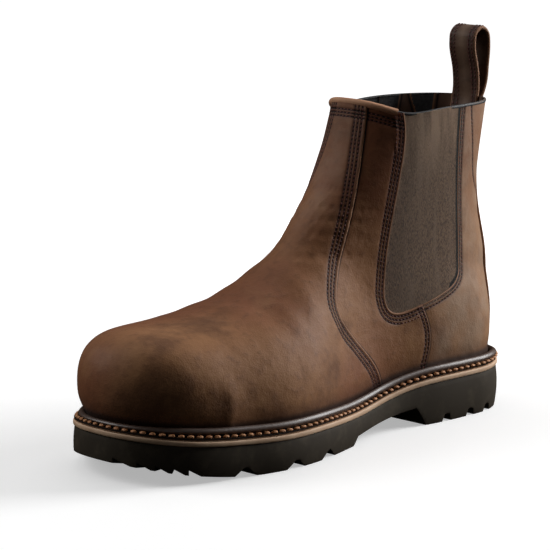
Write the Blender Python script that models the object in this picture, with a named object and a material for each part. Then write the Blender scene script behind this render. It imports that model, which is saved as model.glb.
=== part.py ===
"""Side gore work boot for the left foot, standing empty on its sole.

Metres, +Z up. The toe points to -Y and the outer side of the foot is +X.
"along" is a share of LENGTH, from 0 at the heel to 1 at the toe.
"rise" is a share of SHAFT_RISE, from 0 at the heel seat to 1 at the front of the collar.
"""

import math

import bmesh
import bpy
import numpy as np

MM = 0.001

# Main sizes
LENGTH = 310 * MM  # outsole, heel to toe
BALL_WIDTH = 115 * MM  # outsole across the ball of the foot
HEEL_HEIGHT = 26 * MM  # floor to the top of the outsole at the heel
FOOT_RISE = 100 * MM  # scale of the vamp's height above the feather line
SHAFT_RISE = 164 * MM  # heel seat to the front of the collar
SHAFT_WIDTH = 73 * MM  # shaft, side to side at the collar

# Layers and clearances
GAP = 0.3 * MM  # between pieces that touch
MIDSOLE_THICK = 3.0 * MM
INSOLE_THICK = 4.0 * MM
WALL = 3.4 * MM  # vamp leather with its lining
QUARTER_STEP = 1.2 * MM  # the quarter lies this far under the vamp's face
COUNTER_STEP = 2.0 * MM  # the counter lies this far under the vamp's face
GORE_STEP = 2.2 * MM  # the elastic lies this far under the vamp's face
STEP_FADE = 10 * MM  # height over which the steps are pressed flat at the feather line
STEP_KEPT = 0.2  # share of a step that is left at the feather line
STEP_CLEAR = 1.5 * MM  # how far a step's form reaches outside the wall

# Welt and feather line
HEEL_REACH = 5 * MM  # outsole edge to feather line at the heel
TOE_REACH = 9 * MM  # outsole edge to feather line at the toe
HEEL_BULGE = 2.5 * MM  # the upper's swell over its feather line
TOE_BULGE = 5 * MM
WELT_EDGE_IN = 0.5 * MM  # welt edge inside the midsole edge
WELT_BEVEL = 0.3 * MM  # bevel of the lip's edge
WELT_CLEAR = 0.4 * MM  # ridge to the upper, whose wall is faceted
WELT_LIP = 2.4 * MM  # thickness of the stitched lip
WELT_RIDGE = 6.2 * MM  # top of the storm ridge above the midsole
WELT_RIDGE_WIDTH = 3.2 * MM
WELT_GROOVE = 0.7 * MM  # depth of the stitch groove
WELT_GROOVE_FROM = 0.45  # the groove, in shares of the flat lip's width
WELT_GROOVE_TO = 0.75
WELT_RIDGE_MOST = 0.55  # share of the welt's width that the ridge takes at most
WELT_CREST = 0.5 * MM  # rounding of the ridge's top

# Tread
LUG_DEPTH = 5.2 * MM
CENTRE_LUG_DEPTH = 4.2 * MM
NOTCH_FOOT = 16 * MM  # width of a side notch at the floor
NOTCH_TOP = 5 * MM
HEEL_NOTCH_FOOT = 8 * MM
CENTRE_NOTCH = 5 * MM
CENTRE_NOTCH_TOP = 4 * MM
CHANNEL_AT = 21 * MM  # long channels, from the middle line
CHANNEL_WIDTH = 5 * MM
CHANNEL_DEPTH = 4.4 * MM
CHANNEL_DRAFT = 0.3 * MM
CHANNEL_FROM = 0.470  # share of LENGTH
CHANNEL_TO = 0.823
FIN_COUNT = 11
FIN_PITCH = math.radians(10.4)
FIN_GROOVE = 3.4 * MM
FIN_DEPTH = 2.2 * MM
FIN_RADIUS = 38 * MM  # inner end of the toe grooves, from the toe's centre
FIN_END = 0.75  # outer end, in shares of BALL_WIDTH, past the edge
TOE_CENTRE_ALONG = 0.806
SOLE_BULGE = 1.2 * MM  # swell of the outsole's side wall
SOLE_WIDEST = 0.55  # where the swell is, as a share of the wall's height
SOLE_TOP_IN = 0.4 * MM  # the wall's top edge, inside the swell
HEEL_BEVEL_LENGTH = 9 * MM  # bevel at the back of the heel
HEEL_BEVEL_RISE = 1.2 * MM
CUT_REACH = 16 * MM  # how far the tread's cutters run past the toe

# Pull loop
LOOP_WIDTH = 21 * MM
LOOP_THICK = 2.4 * MM
LOOP_RISE = 43.5 * MM  # loop above the collar's back
LOOP_BOW_DEPTH = 4.4 * MM  # how far the loop bows out in front of its inner tail
LOOP_CLEAR = 0.6 * MM  # inner tail to the wall, which is faceted
LOOP_TAIL_INSIDE = 26 * MM  # sewn tail below the collar
LOOP_TAIL_OUTSIDE = 30 * MM
LOOP_TAPER = 0.7  # width of the outer tail's end, as a share of the strap
LOOP_TAPER_FROM = 0.8  # share of the strap's steps from which it narrows
LOOP_TAIL_STEPS = 5
LOOP_FLATTEN = 12 * MM  # height over which the strap turns from curved to flat
LOOP_STEPS = 56
LOOP_COLUMNS = 5

# Collar roll and back strip
ROLL_RADIUS = 2.3 * MM
ROLL_SIDES = 8
ROLL_SUNK = 0.9  # the roll's middle lies this share of its radius under the rim
STRIP_THICK = 1.3 * MM

# Mesh density
RINGS = 23
RING_COLUMNS = 22  # points on each side of a ring
STATIONS = 30  # cross strips of a sole layer
RING_SAMPLES = 140  # samples that a ring is measured with
VAMP_SEAM_STEPS = 26
HEEL_SEAM_STEPS = 12
GORE_STEPS = 44
STRIP_STEPS = 12
SPRING_STEPS = 9
LOW_BEND_TO = 0.40  # rings up to this share of the way up follow the feather line
HIGH_BEND_FROM = 0.72  # rings from this share on follow the collar

# Outsole edge: half widths on each side, in shares of BALL_WIDTH
OUTLINE = (
    # along, outer, inner
    (0.00, 0.358, 0.352),
    (0.12, 0.370, 0.362),
    (0.25, 0.370, 0.348),
    (0.38, 0.345, 0.318),
    (0.50, 0.415, 0.335),
    (0.62, 0.505, 0.415),
    (0.72, 0.520, 0.480),
    (0.82, 0.472, 0.490),
    (0.92, 0.445, 0.475),
    (1.00, 0.420, 0.450),
)
HEEL_ROUND = 0.135  # share of LENGTH that the round heel end takes
TOE_ROUND = 0.20
HEEL_POWER = 2.1
TOE_POWER = 2.25
PLAN_POWER = 2.2

# Top of the outsole, in shares of HEEL_HEIGHT above the floor
EDGE = (
    # along, height
    (0.00, 0.996),
    (0.15, 0.958),
    (0.30, 0.908),
    (0.45, 0.638),
    (0.60, 0.650),
    (0.72, 0.662),
    (0.82, 0.715),
    (0.92, 0.827),
    (1.00, 0.977),
)

# Underside between the contact faces, in shares of HEEL_HEIGHT above the floor
WAIST = (
    # along, height
    (0.278, -0.10),
    (0.280, 0.00),
    (0.307, 0.46),
    (0.350, 0.41),
    (0.400, 0.33),
    (0.450, 0.25),
    (0.487, 0.20),
    (0.500, 0.00),
    (0.503, -0.10),
)
TOE_SPRING = (
    # along, height
    (0.740, -0.010),
    (0.820, 0.045),
    (0.870, 0.125),
    (0.920, 0.225),
    (0.965, 0.345),
    (1.000, 0.445),
)

SIDE_NOTCHES = (0.595, 0.690, 0.803)
CENTRE_NOTCHES = (0.545, 0.640, 0.745)
HEEL_NOTCHES = (0.1045, 0.158, 0.226)

# Foot part of the last, seen in cross-sections. Crest in shares of BALL_WIDTH
# sideways, top and swell in shares of FOOT_RISE above the feather line.
FOOT = (
    # along, crest, top, swell, shoulder, arch
    (0.00, 0.000, 0.546, 0.20, 1.20, 2.4),
    (0.15, 0.000, 0.668, 0.20, 1.20, 2.4),
    (0.28, -0.009, 0.851, 0.20, 1.10, 2.0),
    (0.38, -0.017, 1.012, 0.20, 1.00, 1.8),
    (0.46, -0.026, 1.051, 0.19, 0.95, 1.7),
    (0.52, -0.026, 0.940, 0.18, 0.95, 1.7),
    (0.57, -0.026, 0.828, 0.18, 1.00, 1.8),
    (0.64, -0.026, 0.700, 0.18, 1.05, 1.9),
    (0.70, -0.026, 0.642, 0.18, 1.10, 2.0),
    (0.80, -0.026, 0.576, 0.18, 1.30, 2.2),
    (0.90, -0.017, 0.546, 0.19, 1.70, 2.3),
    (1.00, -0.017, 0.523, 0.20, 1.90, 2.3),
)
SWELL_POWER = 2  # how the side wall leans in towards the feather line
CREST_LEAN = 0.40  # the crest has its full shift this far above the feather line
CREST_END = 0.675  # rise at which the crest is back on the middle line
CREST_FADE = 0.365

# Shaft part of the last, seen in level sections. Half widths in shares of SHAFT_WIDTH.
SHAFT = (
    # rise, front along, back along, outer, inner
    (-0.03, 0.371, 0.026, 0.411, 0.411),
    (0.13, 0.390, 0.013, 0.473, 0.473),
    (0.25, 0.416, 0.006, 0.480, 0.480),
    (0.40, 0.455, 0.004, 0.473, 0.473),
    (0.53, 0.471, 0.019, 0.473, 0.473),
    (0.66, 0.445, 0.029, 0.480, 0.480),
    (0.82, 0.402, 0.023, 0.493, 0.493),
    (1.02, 0.369, 0.005, 0.500, 0.500),
)
SHAFT_POWER = 2.2
FOOT_SCALE = 35 * MM  # size that turns the foot's section value into a distance
SHAFT_SCALE = 40 * MM
INSTEP_BLEND = 12 * MM  # softness of the bend between foot and shaft
BLEND_FULL = 0.30  # rise from which the bend has its full softness

# Rays that find the front profile from inside: tilt is 0 forward and 90 up
FRONT_RAYS = (
    # share of the way up, along, rise, tilt
    (0.00, 0.855, 0.047, -14),
    (0.10, 0.855, 0.066, 12),
    (0.22, 0.842, 0.102, 55),
    (0.34, 0.797, 0.127, 86),
    (0.50, 0.661, 0.157, 100),
    (0.64, 0.516, 0.248, 92),
    (0.76, 0.355, 0.461, 50),
    (0.88, 0.268, 0.735, 20),
    (1.00, 0.216, 1.000, 0),
)
BACK_RAY_ALONG = 0.21
BACK_TOP_RISE = 0.966

COLLAR = (
    # along, rise
    (0.000, 0.966),
    (0.148, 0.969),
    (0.242, 0.963),
    (0.313, 0.963),
    (0.371, 0.993),
    (0.435, 1.000),
)

# Seams and the elastic's outline, seen from the side
VAMP_SEAM = (
    # along, rise
    (0.358, 1.060),
    (0.363, 0.975),
    (0.387, 0.802),
    (0.423, 0.620),
    (0.461, 0.467),
    (0.495, 0.352),
    (0.497, 0.282),
    (0.474, 0.210),
    (0.430, 0.128),
    (0.394, 0.043),
    (0.372, -0.060),
)
HEEL_SEAM = (
    # along, rise
    (0.281, 0.290),
    (0.265, 0.210),
    (0.259, 0.150),
    (0.262, 0.090),
    (0.268, 0.035),
    (0.278, -0.060),
)
GORE = (
    # along, rise
    (0.317, 1.060),
    (0.307, 0.900),
    (0.324, 0.730),
    (0.346, 0.550),
    (0.361, 0.370),
    (0.363, 0.300),
    (0.352, 0.256),
    (0.325, 0.243),
    (0.280, 0.261),
    (0.205, 0.303),
    (0.172, 0.340),
    (0.160, 0.400),
    (0.160, 0.580),
    (0.169, 0.820),
    (0.163, 1.060),
)
# Back strip: half width in shares of SHAFT_WIDTH
BACK_STRIP = (
    # rise, half width
    (0.075, 0.300),
    (0.250, 0.290),
    (0.450, 0.230),
    (0.640, 0.190),
    (0.770, 0.185),
)
# Bow of the loop's two strands, in shares of LOOP_RISE and LOOP_BOW_DEPTH
LOOP_BOW = (
    # rise, front, back
    (0.00, 0.00, 0.00),
    (0.23, 0.16, 0.50),
    (0.39, 0.34, 0.68),
    (0.53, 0.68, 0.84),
    (0.68, 1.00, 0.96),
    (0.80, 0.92, 0.80),
    (0.90, 0.32, 0.22),
)

MATERIALS = {
    # name: base colour, roughness, metallic
    "leather": ((0.110, 0.060, 0.036), 0.62, 0.0),
    "elastic": ((0.100, 0.078, 0.060), 0.85, 0.0),
    "welt": ((0.045, 0.033, 0.028), 0.40, 0.0),
    "midsole": ((0.420, 0.270, 0.175), 0.60, 0.0),
    "rubber": ((0.020, 0.019, 0.016), 0.65, 0.0),
    "insole": ((0.020, 0.020, 0.022), 0.90, 0.0),
}


def natural_spline(xs, ys, x):
    """Smooth curve through a few rows, with no bend at its two ends."""
    xs = np.asarray(xs, float)
    ys = np.asarray(ys, float)
    step = np.diff(xs)
    count = len(xs)
    system = np.eye(count)
    right = np.zeros(count)
    for i in range(1, count - 1):
        system[i, i - 1] = step[i - 1]
        system[i, i] = 2 * (step[i - 1] + step[i])
        system[i, i + 1] = step[i]
        right[i] = 6 * ((ys[i + 1] - ys[i]) / step[i] - (ys[i] - ys[i - 1]) / step[i - 1])
    bend = np.linalg.solve(system, right)
    x = np.clip(x, xs[0], xs[-1])
    k = np.clip(np.searchsorted(xs, x) - 1, 0, count - 2)
    a = (xs[k + 1] - x) / step[k]
    b = (x - xs[k]) / step[k]
    curved = ((a**3 - a) * bend[k] + (b**3 - b) * bend[k + 1]) * step[k] ** 2 / 6
    return a * ys[k] + b * ys[k + 1] + curved


def column(table, index, at):
    rows = np.array(table, float)
    return natural_spline(rows[:, 0], rows[:, index], at)


def smooth_path(points, steps):
    """Smooth curve through points in the order given."""
    points = np.asarray(points, float)
    at = np.arange(len(points))
    fine = np.linspace(0, len(points) - 1, steps)
    return np.stack([natural_spline(at, points[:, k], fine) for k in range(points.shape[1])], 1)


def along_of(y):
    return 0.5 - y / LENGTH


def y_of(along):
    return (0.5 - np.asarray(along, float)) * LENGTH


def edge_z(y):
    """Top of the outsole."""
    return column(EDGE, 1, along_of(y)) * HEEL_HEIGHT


def midsole_top(y):
    return edge_z(y) + GAP + MIDSOLE_THICK


def feather_z(y):
    """Where the upper, the welt and the insole sit on the midsole."""
    return midsole_top(y) + GAP


def heel_seat():
    return float(feather_z(LENGTH / 2))


def z_of(rise):
    return heel_seat() + np.asarray(rise, float) * SHAFT_RISE


def rise_of(z):
    return (z - heel_seat()) / SHAFT_RISE


def end_terms(along):
    """Grows from 0 to 1 over the round heel end and the round toe end."""
    heel = np.clip((HEEL_ROUND - along) / HEEL_ROUND, 0, None)
    toe = np.clip((along - 1 + TOE_ROUND) / TOE_ROUND, 0, None)
    return heel**HEEL_POWER + toe**TOE_POWER


def plan(y, side, heel_in, toe_in):
    """Half width without its round ends, and the end terms, of the outline drawn inwards."""
    low = heel_in / LENGTH
    high = 1 - toe_in / LENGTH
    share = (along_of(y) - low) / (high - low)
    held = np.clip(share, 0, 1)
    width = np.where(np.asarray(side) > 0, column(OUTLINE, 1, held), column(OUTLINE, 2, held))
    return width * BALL_WIDTH - (heel_in + (toe_in - heel_in) * held), end_terms(share)


def half_width(y, side, heel_in=0.0, toe_in=0.0):
    width, ends = plan(y, side, heel_in, toe_in)
    return width * np.clip(1 - ends, 0, 1) ** (1 / PLAN_POWER)


def crest_x(y, z):
    """Sideways place of the upper's middle line."""
    lean = np.clip((z - feather_z(y)) / (CREST_LEAN * FOOT_RISE), 0, 1)
    fade = np.clip((CREST_END - rise_of(z)) / CREST_FADE, 0, 1)
    return column(FOOT, 1, along_of(y)) * BALL_WIDTH * lean * fade


def foot_field(x, y, z):
    """About the distance outside the foot part, and below zero inside it."""
    share = along_of(y)
    side = np.where(x >= 0, 1, -1)
    feather = feather_z(y)
    widest = feather + column(FOOT, 3, share) * FOOT_RISE
    lean = np.clip((widest - z) / (widest - feather), 0, 1.3) ** SWELL_POWER
    heel_in = HEEL_REACH - HEEL_BULGE * (1 - lean)
    toe_in = TOE_REACH - TOE_BULGE * (1 - lean)
    width, ends = plan(y, side, heel_in, toe_in)
    around = (np.abs(x) / width) ** PLAN_POWER + ends
    height = feather + column(FOOT, 2, share) * FOOT_RISE - widest
    up = np.clip((z - widest) / height, 0, None)
    value = around ** column(FOOT, 4, share) + up ** column(FOOT, 5, share)
    return (np.sqrt(value) - 1) * FOOT_SCALE


def shaft_sections(z):
    """Front, back, outer and inner half widths of the shaft at a height."""
    rise = rise_of(z)
    front = y_of(column(SHAFT, 1, rise))
    back = y_of(column(SHAFT, 2, rise))
    return front, back, column(SHAFT, 3, rise) * SHAFT_WIDTH, column(SHAFT, 4, rise) * SHAFT_WIDTH


def shaft_field(x, y, z):
    front, back, outer, inner = shaft_sections(z)
    width = np.where(x >= 0, outer, inner)
    middle = (front + back) / 2
    depth = (back - front) / 2
    value = (np.abs(x) / width) ** SHAFT_POWER + (np.abs(y - middle) / depth) ** SHAFT_POWER
    return (value ** (1 / SHAFT_POWER) - 1) * SHAFT_SCALE


def body_field(x, y, z):
    """The outer face of the vamp leather is where this is zero."""
    x = x - crest_x(y, z)
    foot = foot_field(x, y, z)
    shaft = shaft_field(x, y, z)
    blend = INSTEP_BLEND * np.clip(rise_of(z) / BLEND_FULL, 0.01, 1)
    near = np.clip(blend - np.abs(foot - shaft), 0, None) / blend
    return np.minimum(foot, shaft) - near**2 * blend / 4


def leave_body(start, way, reach):
    """Points where rays from inside leave the body."""
    marks = np.linspace(0, reach, 25)
    values = np.stack([body_field(*(start + way * m).T) for m in marks])
    outside = values > 0
    first = np.where(outside.any(0), outside.argmax(0), len(marks) - 1)
    high = marks[first]
    low = marks[np.maximum(first - 1, 0)]
    for _ in range(30):
        middle = (low + high) / 2
        inside = body_field(*(start + way * middle[:, None]).T) < 0
        low = np.where(inside, middle, low)
        high = np.where(inside, high, middle)
    return start + way * ((low + high) / 2)[:, None]


def front_profile(shares):
    y = y_of(column(FRONT_RAYS, 1, shares))
    z = z_of(column(FRONT_RAYS, 2, shares))
    tilt = np.radians(column(FRONT_RAYS, 3, shares))
    start = np.stack([crest_x(y, z), y, z], 1)
    way = np.stack([0 * tilt, -np.cos(tilt), np.sin(tilt)], 1)
    return leave_body(start, way, LENGTH / 2)


def back_profile(shares):
    z = z_of(BACK_TOP_RISE * np.asarray(shares, float))
    start = np.stack([0 * z, np.full_like(z, y_of(BACK_RAY_ALONG)), z], 1)
    return leave_body(start, np.tile([0.0, 1.0, 0.0], (len(z), 1)), LENGTH / 2)


def collar_z(y):
    return z_of(column(COLLAR, 1, along_of(y)))


def even_points(points, count):
    """The same line with evenly spaced points."""
    run = np.r_[0, np.cumsum(np.linalg.norm(np.diff(points, axis=0), axis=1))]
    at = np.linspace(0, run[-1], count)
    return np.stack([np.interp(at, run, points[:, k]) for k in range(3)], 1)


def last_rings(shares, per_side):
    """Closed rings from the feather line to the collar: front, outer side, back, inner side."""
    fronts = front_profile(shares)
    backs = back_profile(shares)
    across = (1 - np.cos(np.linspace(0, np.pi, RING_SAMPLES))) / 2
    low_y = fronts[0, 1] + (backs[0, 1] - fronts[0, 1]) * across
    low_bend = feather_z(low_y) - fronts[0, 2] - (backs[0, 2] - fronts[0, 2]) * across
    high_y = fronts[-1, 1] + (backs[-1, 1] - fronts[-1, 1]) * across
    high_bend = collar_z(high_y) - fronts[-1, 2] - (backs[-1, 2] - fronts[-1, 2]) * across
    rings = []
    for share, front, back in zip(shares, fronts, backs):
        y = front[1] + (back[1] - front[1]) * across
        z = front[2] + (back[2] - front[2]) * across
        z = z + np.clip(1 - share / LOW_BEND_TO, 0, 1) ** 2 * low_bend
        z = z + np.clip((share - HIGH_BEND_FROM) / (1 - HIGH_BEND_FROM), 0, 1) ** 2 * high_bend
        middle = np.stack([crest_x(y, z), y, z], 1)
        sides = []
        for sign in (1.0, -1.0):
            within = middle[1:-1]
            way = np.tile([sign, 0.0, 0.0], (len(within), 1))
            wall = leave_body(within, way, BALL_WIDTH)
            sides.append(even_points(np.vstack([middle[:1], wall, middle[-1:]]), per_side + 1))
        rings.append(np.vstack([sides[0], sides[1][::-1][1:-1]]))
    return np.array(rings)


def ring_normals(rings):
    """Outward normals of a grid of closed rings."""
    around = np.roll(rings, -1, 1) - np.roll(rings, 1, 1)
    up = np.gradient(rings, axis=0)
    normals = np.cross(around, up)
    normals /= np.linalg.norm(normals, axis=2, keepdims=True)
    outward = ((rings - rings.mean(1, keepdims=True)) * normals).sum(2).mean()
    return normals if outward > 0 else -normals


RING_SHARES = np.linspace(0, 1, RINGS)
LAST = last_rings(RING_SHARES, RING_COLUMNS)
NORMALS = ring_normals(LAST)


def inset(depth):
    """The last's rings set in by a depth."""
    return LAST - NORMALS * depth


def pressed(depth):
    """The same, with most of the depth pressed out near the feather line."""
    height = LAST[..., 2] - feather_z(LAST[..., 1])
    rise = np.clip(height / STEP_FADE, 0, 1)
    kept = STEP_KEPT + (1 - STEP_KEPT) * rise * rise * (3 - 2 * rise)
    return LAST - NORMALS * (depth * kept)[..., None]


def link(name, mesh_points, faces, material):
    """A smooth-shaded object from points and faces."""
    mesh = bpy.data.meshes.new(name)
    mesh.from_pydata([tuple(p) for p in mesh_points], [], faces)
    work = bmesh.new()
    work.from_mesh(mesh)
    bmesh.ops.recalc_face_normals(work, faces=work.faces)
    work.to_mesh(mesh)
    work.free()
    mesh.shade_smooth()
    mesh.set_sharp_from_angle(angle=math.radians(35))
    item = bpy.data.objects.new(name, mesh)
    bpy.context.scene.collection.objects.link(item)
    if material:
        mesh.materials.append(MADE[material])
    return item


def helper(item):
    """Marks a cutter or a form that only shapes other pieces."""
    item.hide_render = True
    item.display_type = "WIRE"
    return item


def boolean(item, operation, other):
    modifier = item.modifiers.new(operation.title() + "_" + other.name, "BOOLEAN")
    modifier.operation = operation
    modifier.object = other
    modifier.solver = "EXACT"


def closed_grid_faces(rows, columns, first=0):
    """Quads of a grid that closes on itself in the second direction."""
    faces = []
    for i in range(rows - 1):
        for j in range(columns):
            right = (j + 1) % columns
            a = first + i * columns
            faces.append((a + j, a + right, a + columns + right, a + columns + j))
    return faces


def shell(name, material, outer, inner, reach=0.0):
    """Wall between two sets of rings, drawn out past both rims by a reach."""
    for rings in (outer, inner):
        rings[0, :, 2] = feather_z(rings[0, :, 1]) - reach
        rings[-1, :, 2] += reach
    rows, columns = outer.shape[:2]
    count = rows * columns
    faces = closed_grid_faces(rows, columns)
    faces += [face[::-1] for face in closed_grid_faces(rows, columns, count)]
    top = (rows - 1) * columns
    for j in range(columns):
        right = (j + 1) % columns
        faces.append((right, j, count + j, count + right))
        faces.append((top + j, top + right, count + top + right, count + top + j))
    points = np.vstack([outer.reshape(-1, 3), inner.reshape(-1, 3)])
    return link(name, points, faces, material)


def prism(name, outline, low, high, axis=0):
    """An outline in two of the axes, drawn out along the third from low to high."""
    others = [k for k in range(3) if k != axis]
    count = len(outline)
    points = np.zeros((2 * count, 3))
    for k, end in enumerate((low, high)):
        part = points[k * count : (k + 1) * count]
        part[:, others] = outline
        part[:, axis] = end
    faces = [tuple(range(count)), tuple(range(2 * count - 1, count - 1, -1))]
    for j in range(count):
        right = (j + 1) % count
        faces.append((j, count + j, count + right, right))
    return helper(link(name, points, faces, None))


def side_path(rows, steps):
    """A seam from its table, as y and z."""
    rows = np.array(rows, float)
    return smooth_path(np.stack([y_of(rows[:, 0]), z_of(rows[:, 1])], 1), steps)


def offset_outline(outline, distance):
    """A closed outline moved inwards by a distance."""
    ahead = np.roll(outline, -1, 0) - np.roll(outline, 1, 0)
    ahead /= np.linalg.norm(ahead, axis=1, keepdims=True)
    normal = np.stack([-ahead[:, 1], ahead[:, 0]], 1)
    centre = outline.mean(0)
    if ((centre - outline) * normal).sum() < 0:
        normal = -normal
    return outline + normal * distance


def behind(path):
    """Everything behind a seam, as an outline in y and z."""
    return np.vstack([path, [[LENGTH, path[-1, 1]], [LENGTH, path[0, 1]]]])


def cut_step(upper, name, depth, seam):
    """Sets the wall back by a depth everywhere behind a seam."""
    form = helper(shell(name + "_form", None, inset(-STEP_CLEAR), pressed(depth), STEP_CLEAR))
    boolean(form, "INTERSECT", prism(name + "_region", behind(seam), -BALL_WIDTH, BALL_WIDTH))
    boolean(upper, "DIFFERENCE", form)


def make_collar_roll():
    """Rolled leather edge along the front of the collar. It runs on past the elastic's cut."""
    ring = inset(WALL / 2)[-1]
    ring[:, 2] -= ROLL_RADIUS * ROLL_SUNK
    front = y_of(GORE[0][0])
    count = len(ring)
    order = [j % count for j in range(-count // 2, count // 2)]
    path = np.array([ring[j] for j in order if ring[j][1] < front + 4 * ROLL_RADIUS])
    points = []
    for centre, way in zip(path, np.gradient(path, axis=0)):
        out = np.array([way[1], -way[0], 0.0])
        out /= np.linalg.norm(out)
        for k in range(ROLL_SIDES):
            angle = 2 * math.pi * k / ROLL_SIDES
            spoke = math.cos(angle) * out + math.sin(angle) * np.array([0, 0, 1])
            points.append(centre + ROLL_RADIUS * spoke)
    faces = closed_grid_faces(len(path), ROLL_SIDES)
    faces.append(tuple(range(ROLL_SIDES)))
    faces.append(tuple(range((len(path) - 1) * ROLL_SIDES, len(path) * ROLL_SIDES)))
    return helper(link("collar_roll_form", points, faces, None))


def make_upper():
    """Vamp, quarters and counter as one hollow wall with a step at each overlap."""
    upper = shell("upper", "leather", inset(0.0), inset(WALL))
    cut_step(upper, "quarter", QUARTER_STEP, side_path(VAMP_SEAM, VAMP_SEAM_STEPS))
    heel_seam = side_path(HEEL_SEAM, HEEL_SEAM_STEPS)
    over_gore = [[heel_seam[0, 0], float(z_of(GORE[0][1]))]]
    cut_step(upper, "counter", COUNTER_STEP, np.vstack([over_gore, heel_seam]))
    boolean(upper, "UNION", make_collar_roll())
    opening = prism("gore_opening", side_path(GORE, GORE_STEPS), -BALL_WIDTH, BALL_WIDTH)
    boolean(upper, "DIFFERENCE", opening)
    return upper


def make_gores():
    """Elastic panels that fill the two side openings."""
    outline = offset_outline(side_path(GORE, GORE_STEPS), GAP)
    for name, low, high in (("gore_outer", 0.0, BALL_WIDTH), ("gore_inner", -BALL_WIDTH, 0.0)):
        gore = shell(name, "elastic", inset(GORE_STEP), inset(WALL))
        boolean(gore, "INTERSECT", prism(name + "_outline", outline, low, high))


def make_back_strip():
    """Leather strip over the back seam, lying on the counter."""
    rows = np.array(BACK_STRIP)
    rise = np.linspace(rows[0, 0], rows[-1, 0], STRIP_STEPS)
    width = natural_spline(rows[:, 0], rows[:, 1], rise) * SHAFT_WIDTH
    right = np.stack([width, z_of(rise)], 1)
    left = np.stack([-width, z_of(rise)], 1)[::-1]
    under = COUNTER_STEP - GAP
    strip = shell("back_strip", "leather", inset(under - STRIP_THICK), inset(under))
    outline = prism("back_strip_outline", np.vstack([right, left]), y_of(BACK_RAY_ALONG), LENGTH, axis=1)
    boolean(strip, "INTERSECT", outline)


def stations(heel_in=0.0, toe_in=0.0):
    """Places along a sole layer, closer together at its round ends."""
    turn = np.linspace(0, math.pi, STATIONS + 1)
    heel = LENGTH / 2 - heel_in
    toe = -LENGTH / 2 + toe_in
    return heel + (toe - heel) * (1 - np.cos(turn)) / 2


def outline_loop(height, heel_in=0.0, toe_in=0.0):
    """Heel tip, outer side, toe tip, inner side, at a height given as a function of y."""
    y = stations(heel_in, toe_in)
    z = height(y)
    outer = np.stack([half_width(y, 1, heel_in, toe_in), y, z], 1)
    inner = np.stack([-half_width(y, -1, heel_in, toe_in), y, z], 1)
    outer[0, 0] = outer[-1, 0] = 0.0
    return np.vstack([outer, inner[1:-1][::-1]])


def slab(name, loops, material):
    """A sole layer from outline loops, bottom to top, closed by cross strips."""
    count = len(loops[0])
    points = np.vstack(loops)
    faces = closed_grid_faces(len(loops), count)
    for k, base in enumerate((0, (len(loops) - 1) * count)):
        for i in range(STATIONS):
            left = (count - i) % count
            next_left = count - i - 1
            face = [base + i, base + i + 1, base + next_left, base + left]
            face = list(dict.fromkeys(face))
            faces.append(tuple(face if k else face[::-1]))
    return link(name, points, faces, material)


def tread_z(y):
    """Underside of the toe, in front of the flat forefoot."""
    rows = np.array(TOE_SPRING)
    return natural_spline(rows[:, 0], rows[:, 1], along_of(y)) * HEEL_HEIGHT


def notch(name, along, foot, top, depth, low, high):
    """Tapered cross notch in the tread."""
    y = float(y_of(along))
    base = float(tread_z(y))
    below = base - depth
    flare = (foot - top) / 2
    outline = [
        (y - foot / 2 - flare, below),
        (y + foot / 2 + flare, below),
        (y + top / 2, base + depth),
        (y - top / 2, base + depth),
    ]
    return prism(name, np.array(outline), low, high)


def toe_groove(name, angle):
    """Groove that runs out from the toe's centre to its edge, following the toe spring."""
    centre = np.array([0.0, float(y_of(TOE_CENTRE_ALONG))])
    way = np.array([math.sin(angle), -math.cos(angle)])
    side = np.array([way[1], -way[0]]) * FIN_GROOVE / 2
    points = []
    for radius in (FIN_RADIUS, BALL_WIDTH * FIN_END):
        for sign in (-1, 1):
            x, y = centre + way * radius + side * sign
            roof = float(tread_z(centre[1] + way[1] * min(radius, BALL_WIDTH / 2))) + FIN_DEPTH
            points.append((x, y, -HEEL_HEIGHT / 4))
            points.append((x, y, roof))
    faces = [(0, 1, 3, 2), (4, 6, 7, 5), (0, 2, 6, 4), (1, 5, 7, 3), (0, 4, 5, 1), (2, 3, 7, 6)]
    return helper(link(name, points, faces, None))


def long_channel(name, x):
    """Channel along the forefoot between the side lugs and the middle lugs."""
    half = CHANNEL_WIDTH / 2
    below = -HEEL_HEIGHT / 3
    outline = [
        (x - half - CHANNEL_DRAFT, below),
        (x + half + CHANNEL_DRAFT, below),
        (x + half - CHANNEL_DRAFT, CHANNEL_DEPTH),
        (x - half + CHANNEL_DRAFT, CHANNEL_DEPTH),
    ]
    return prism(name, np.array(outline), float(y_of(CHANNEL_TO)), float(y_of(CHANNEL_FROM)), axis=1)


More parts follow.
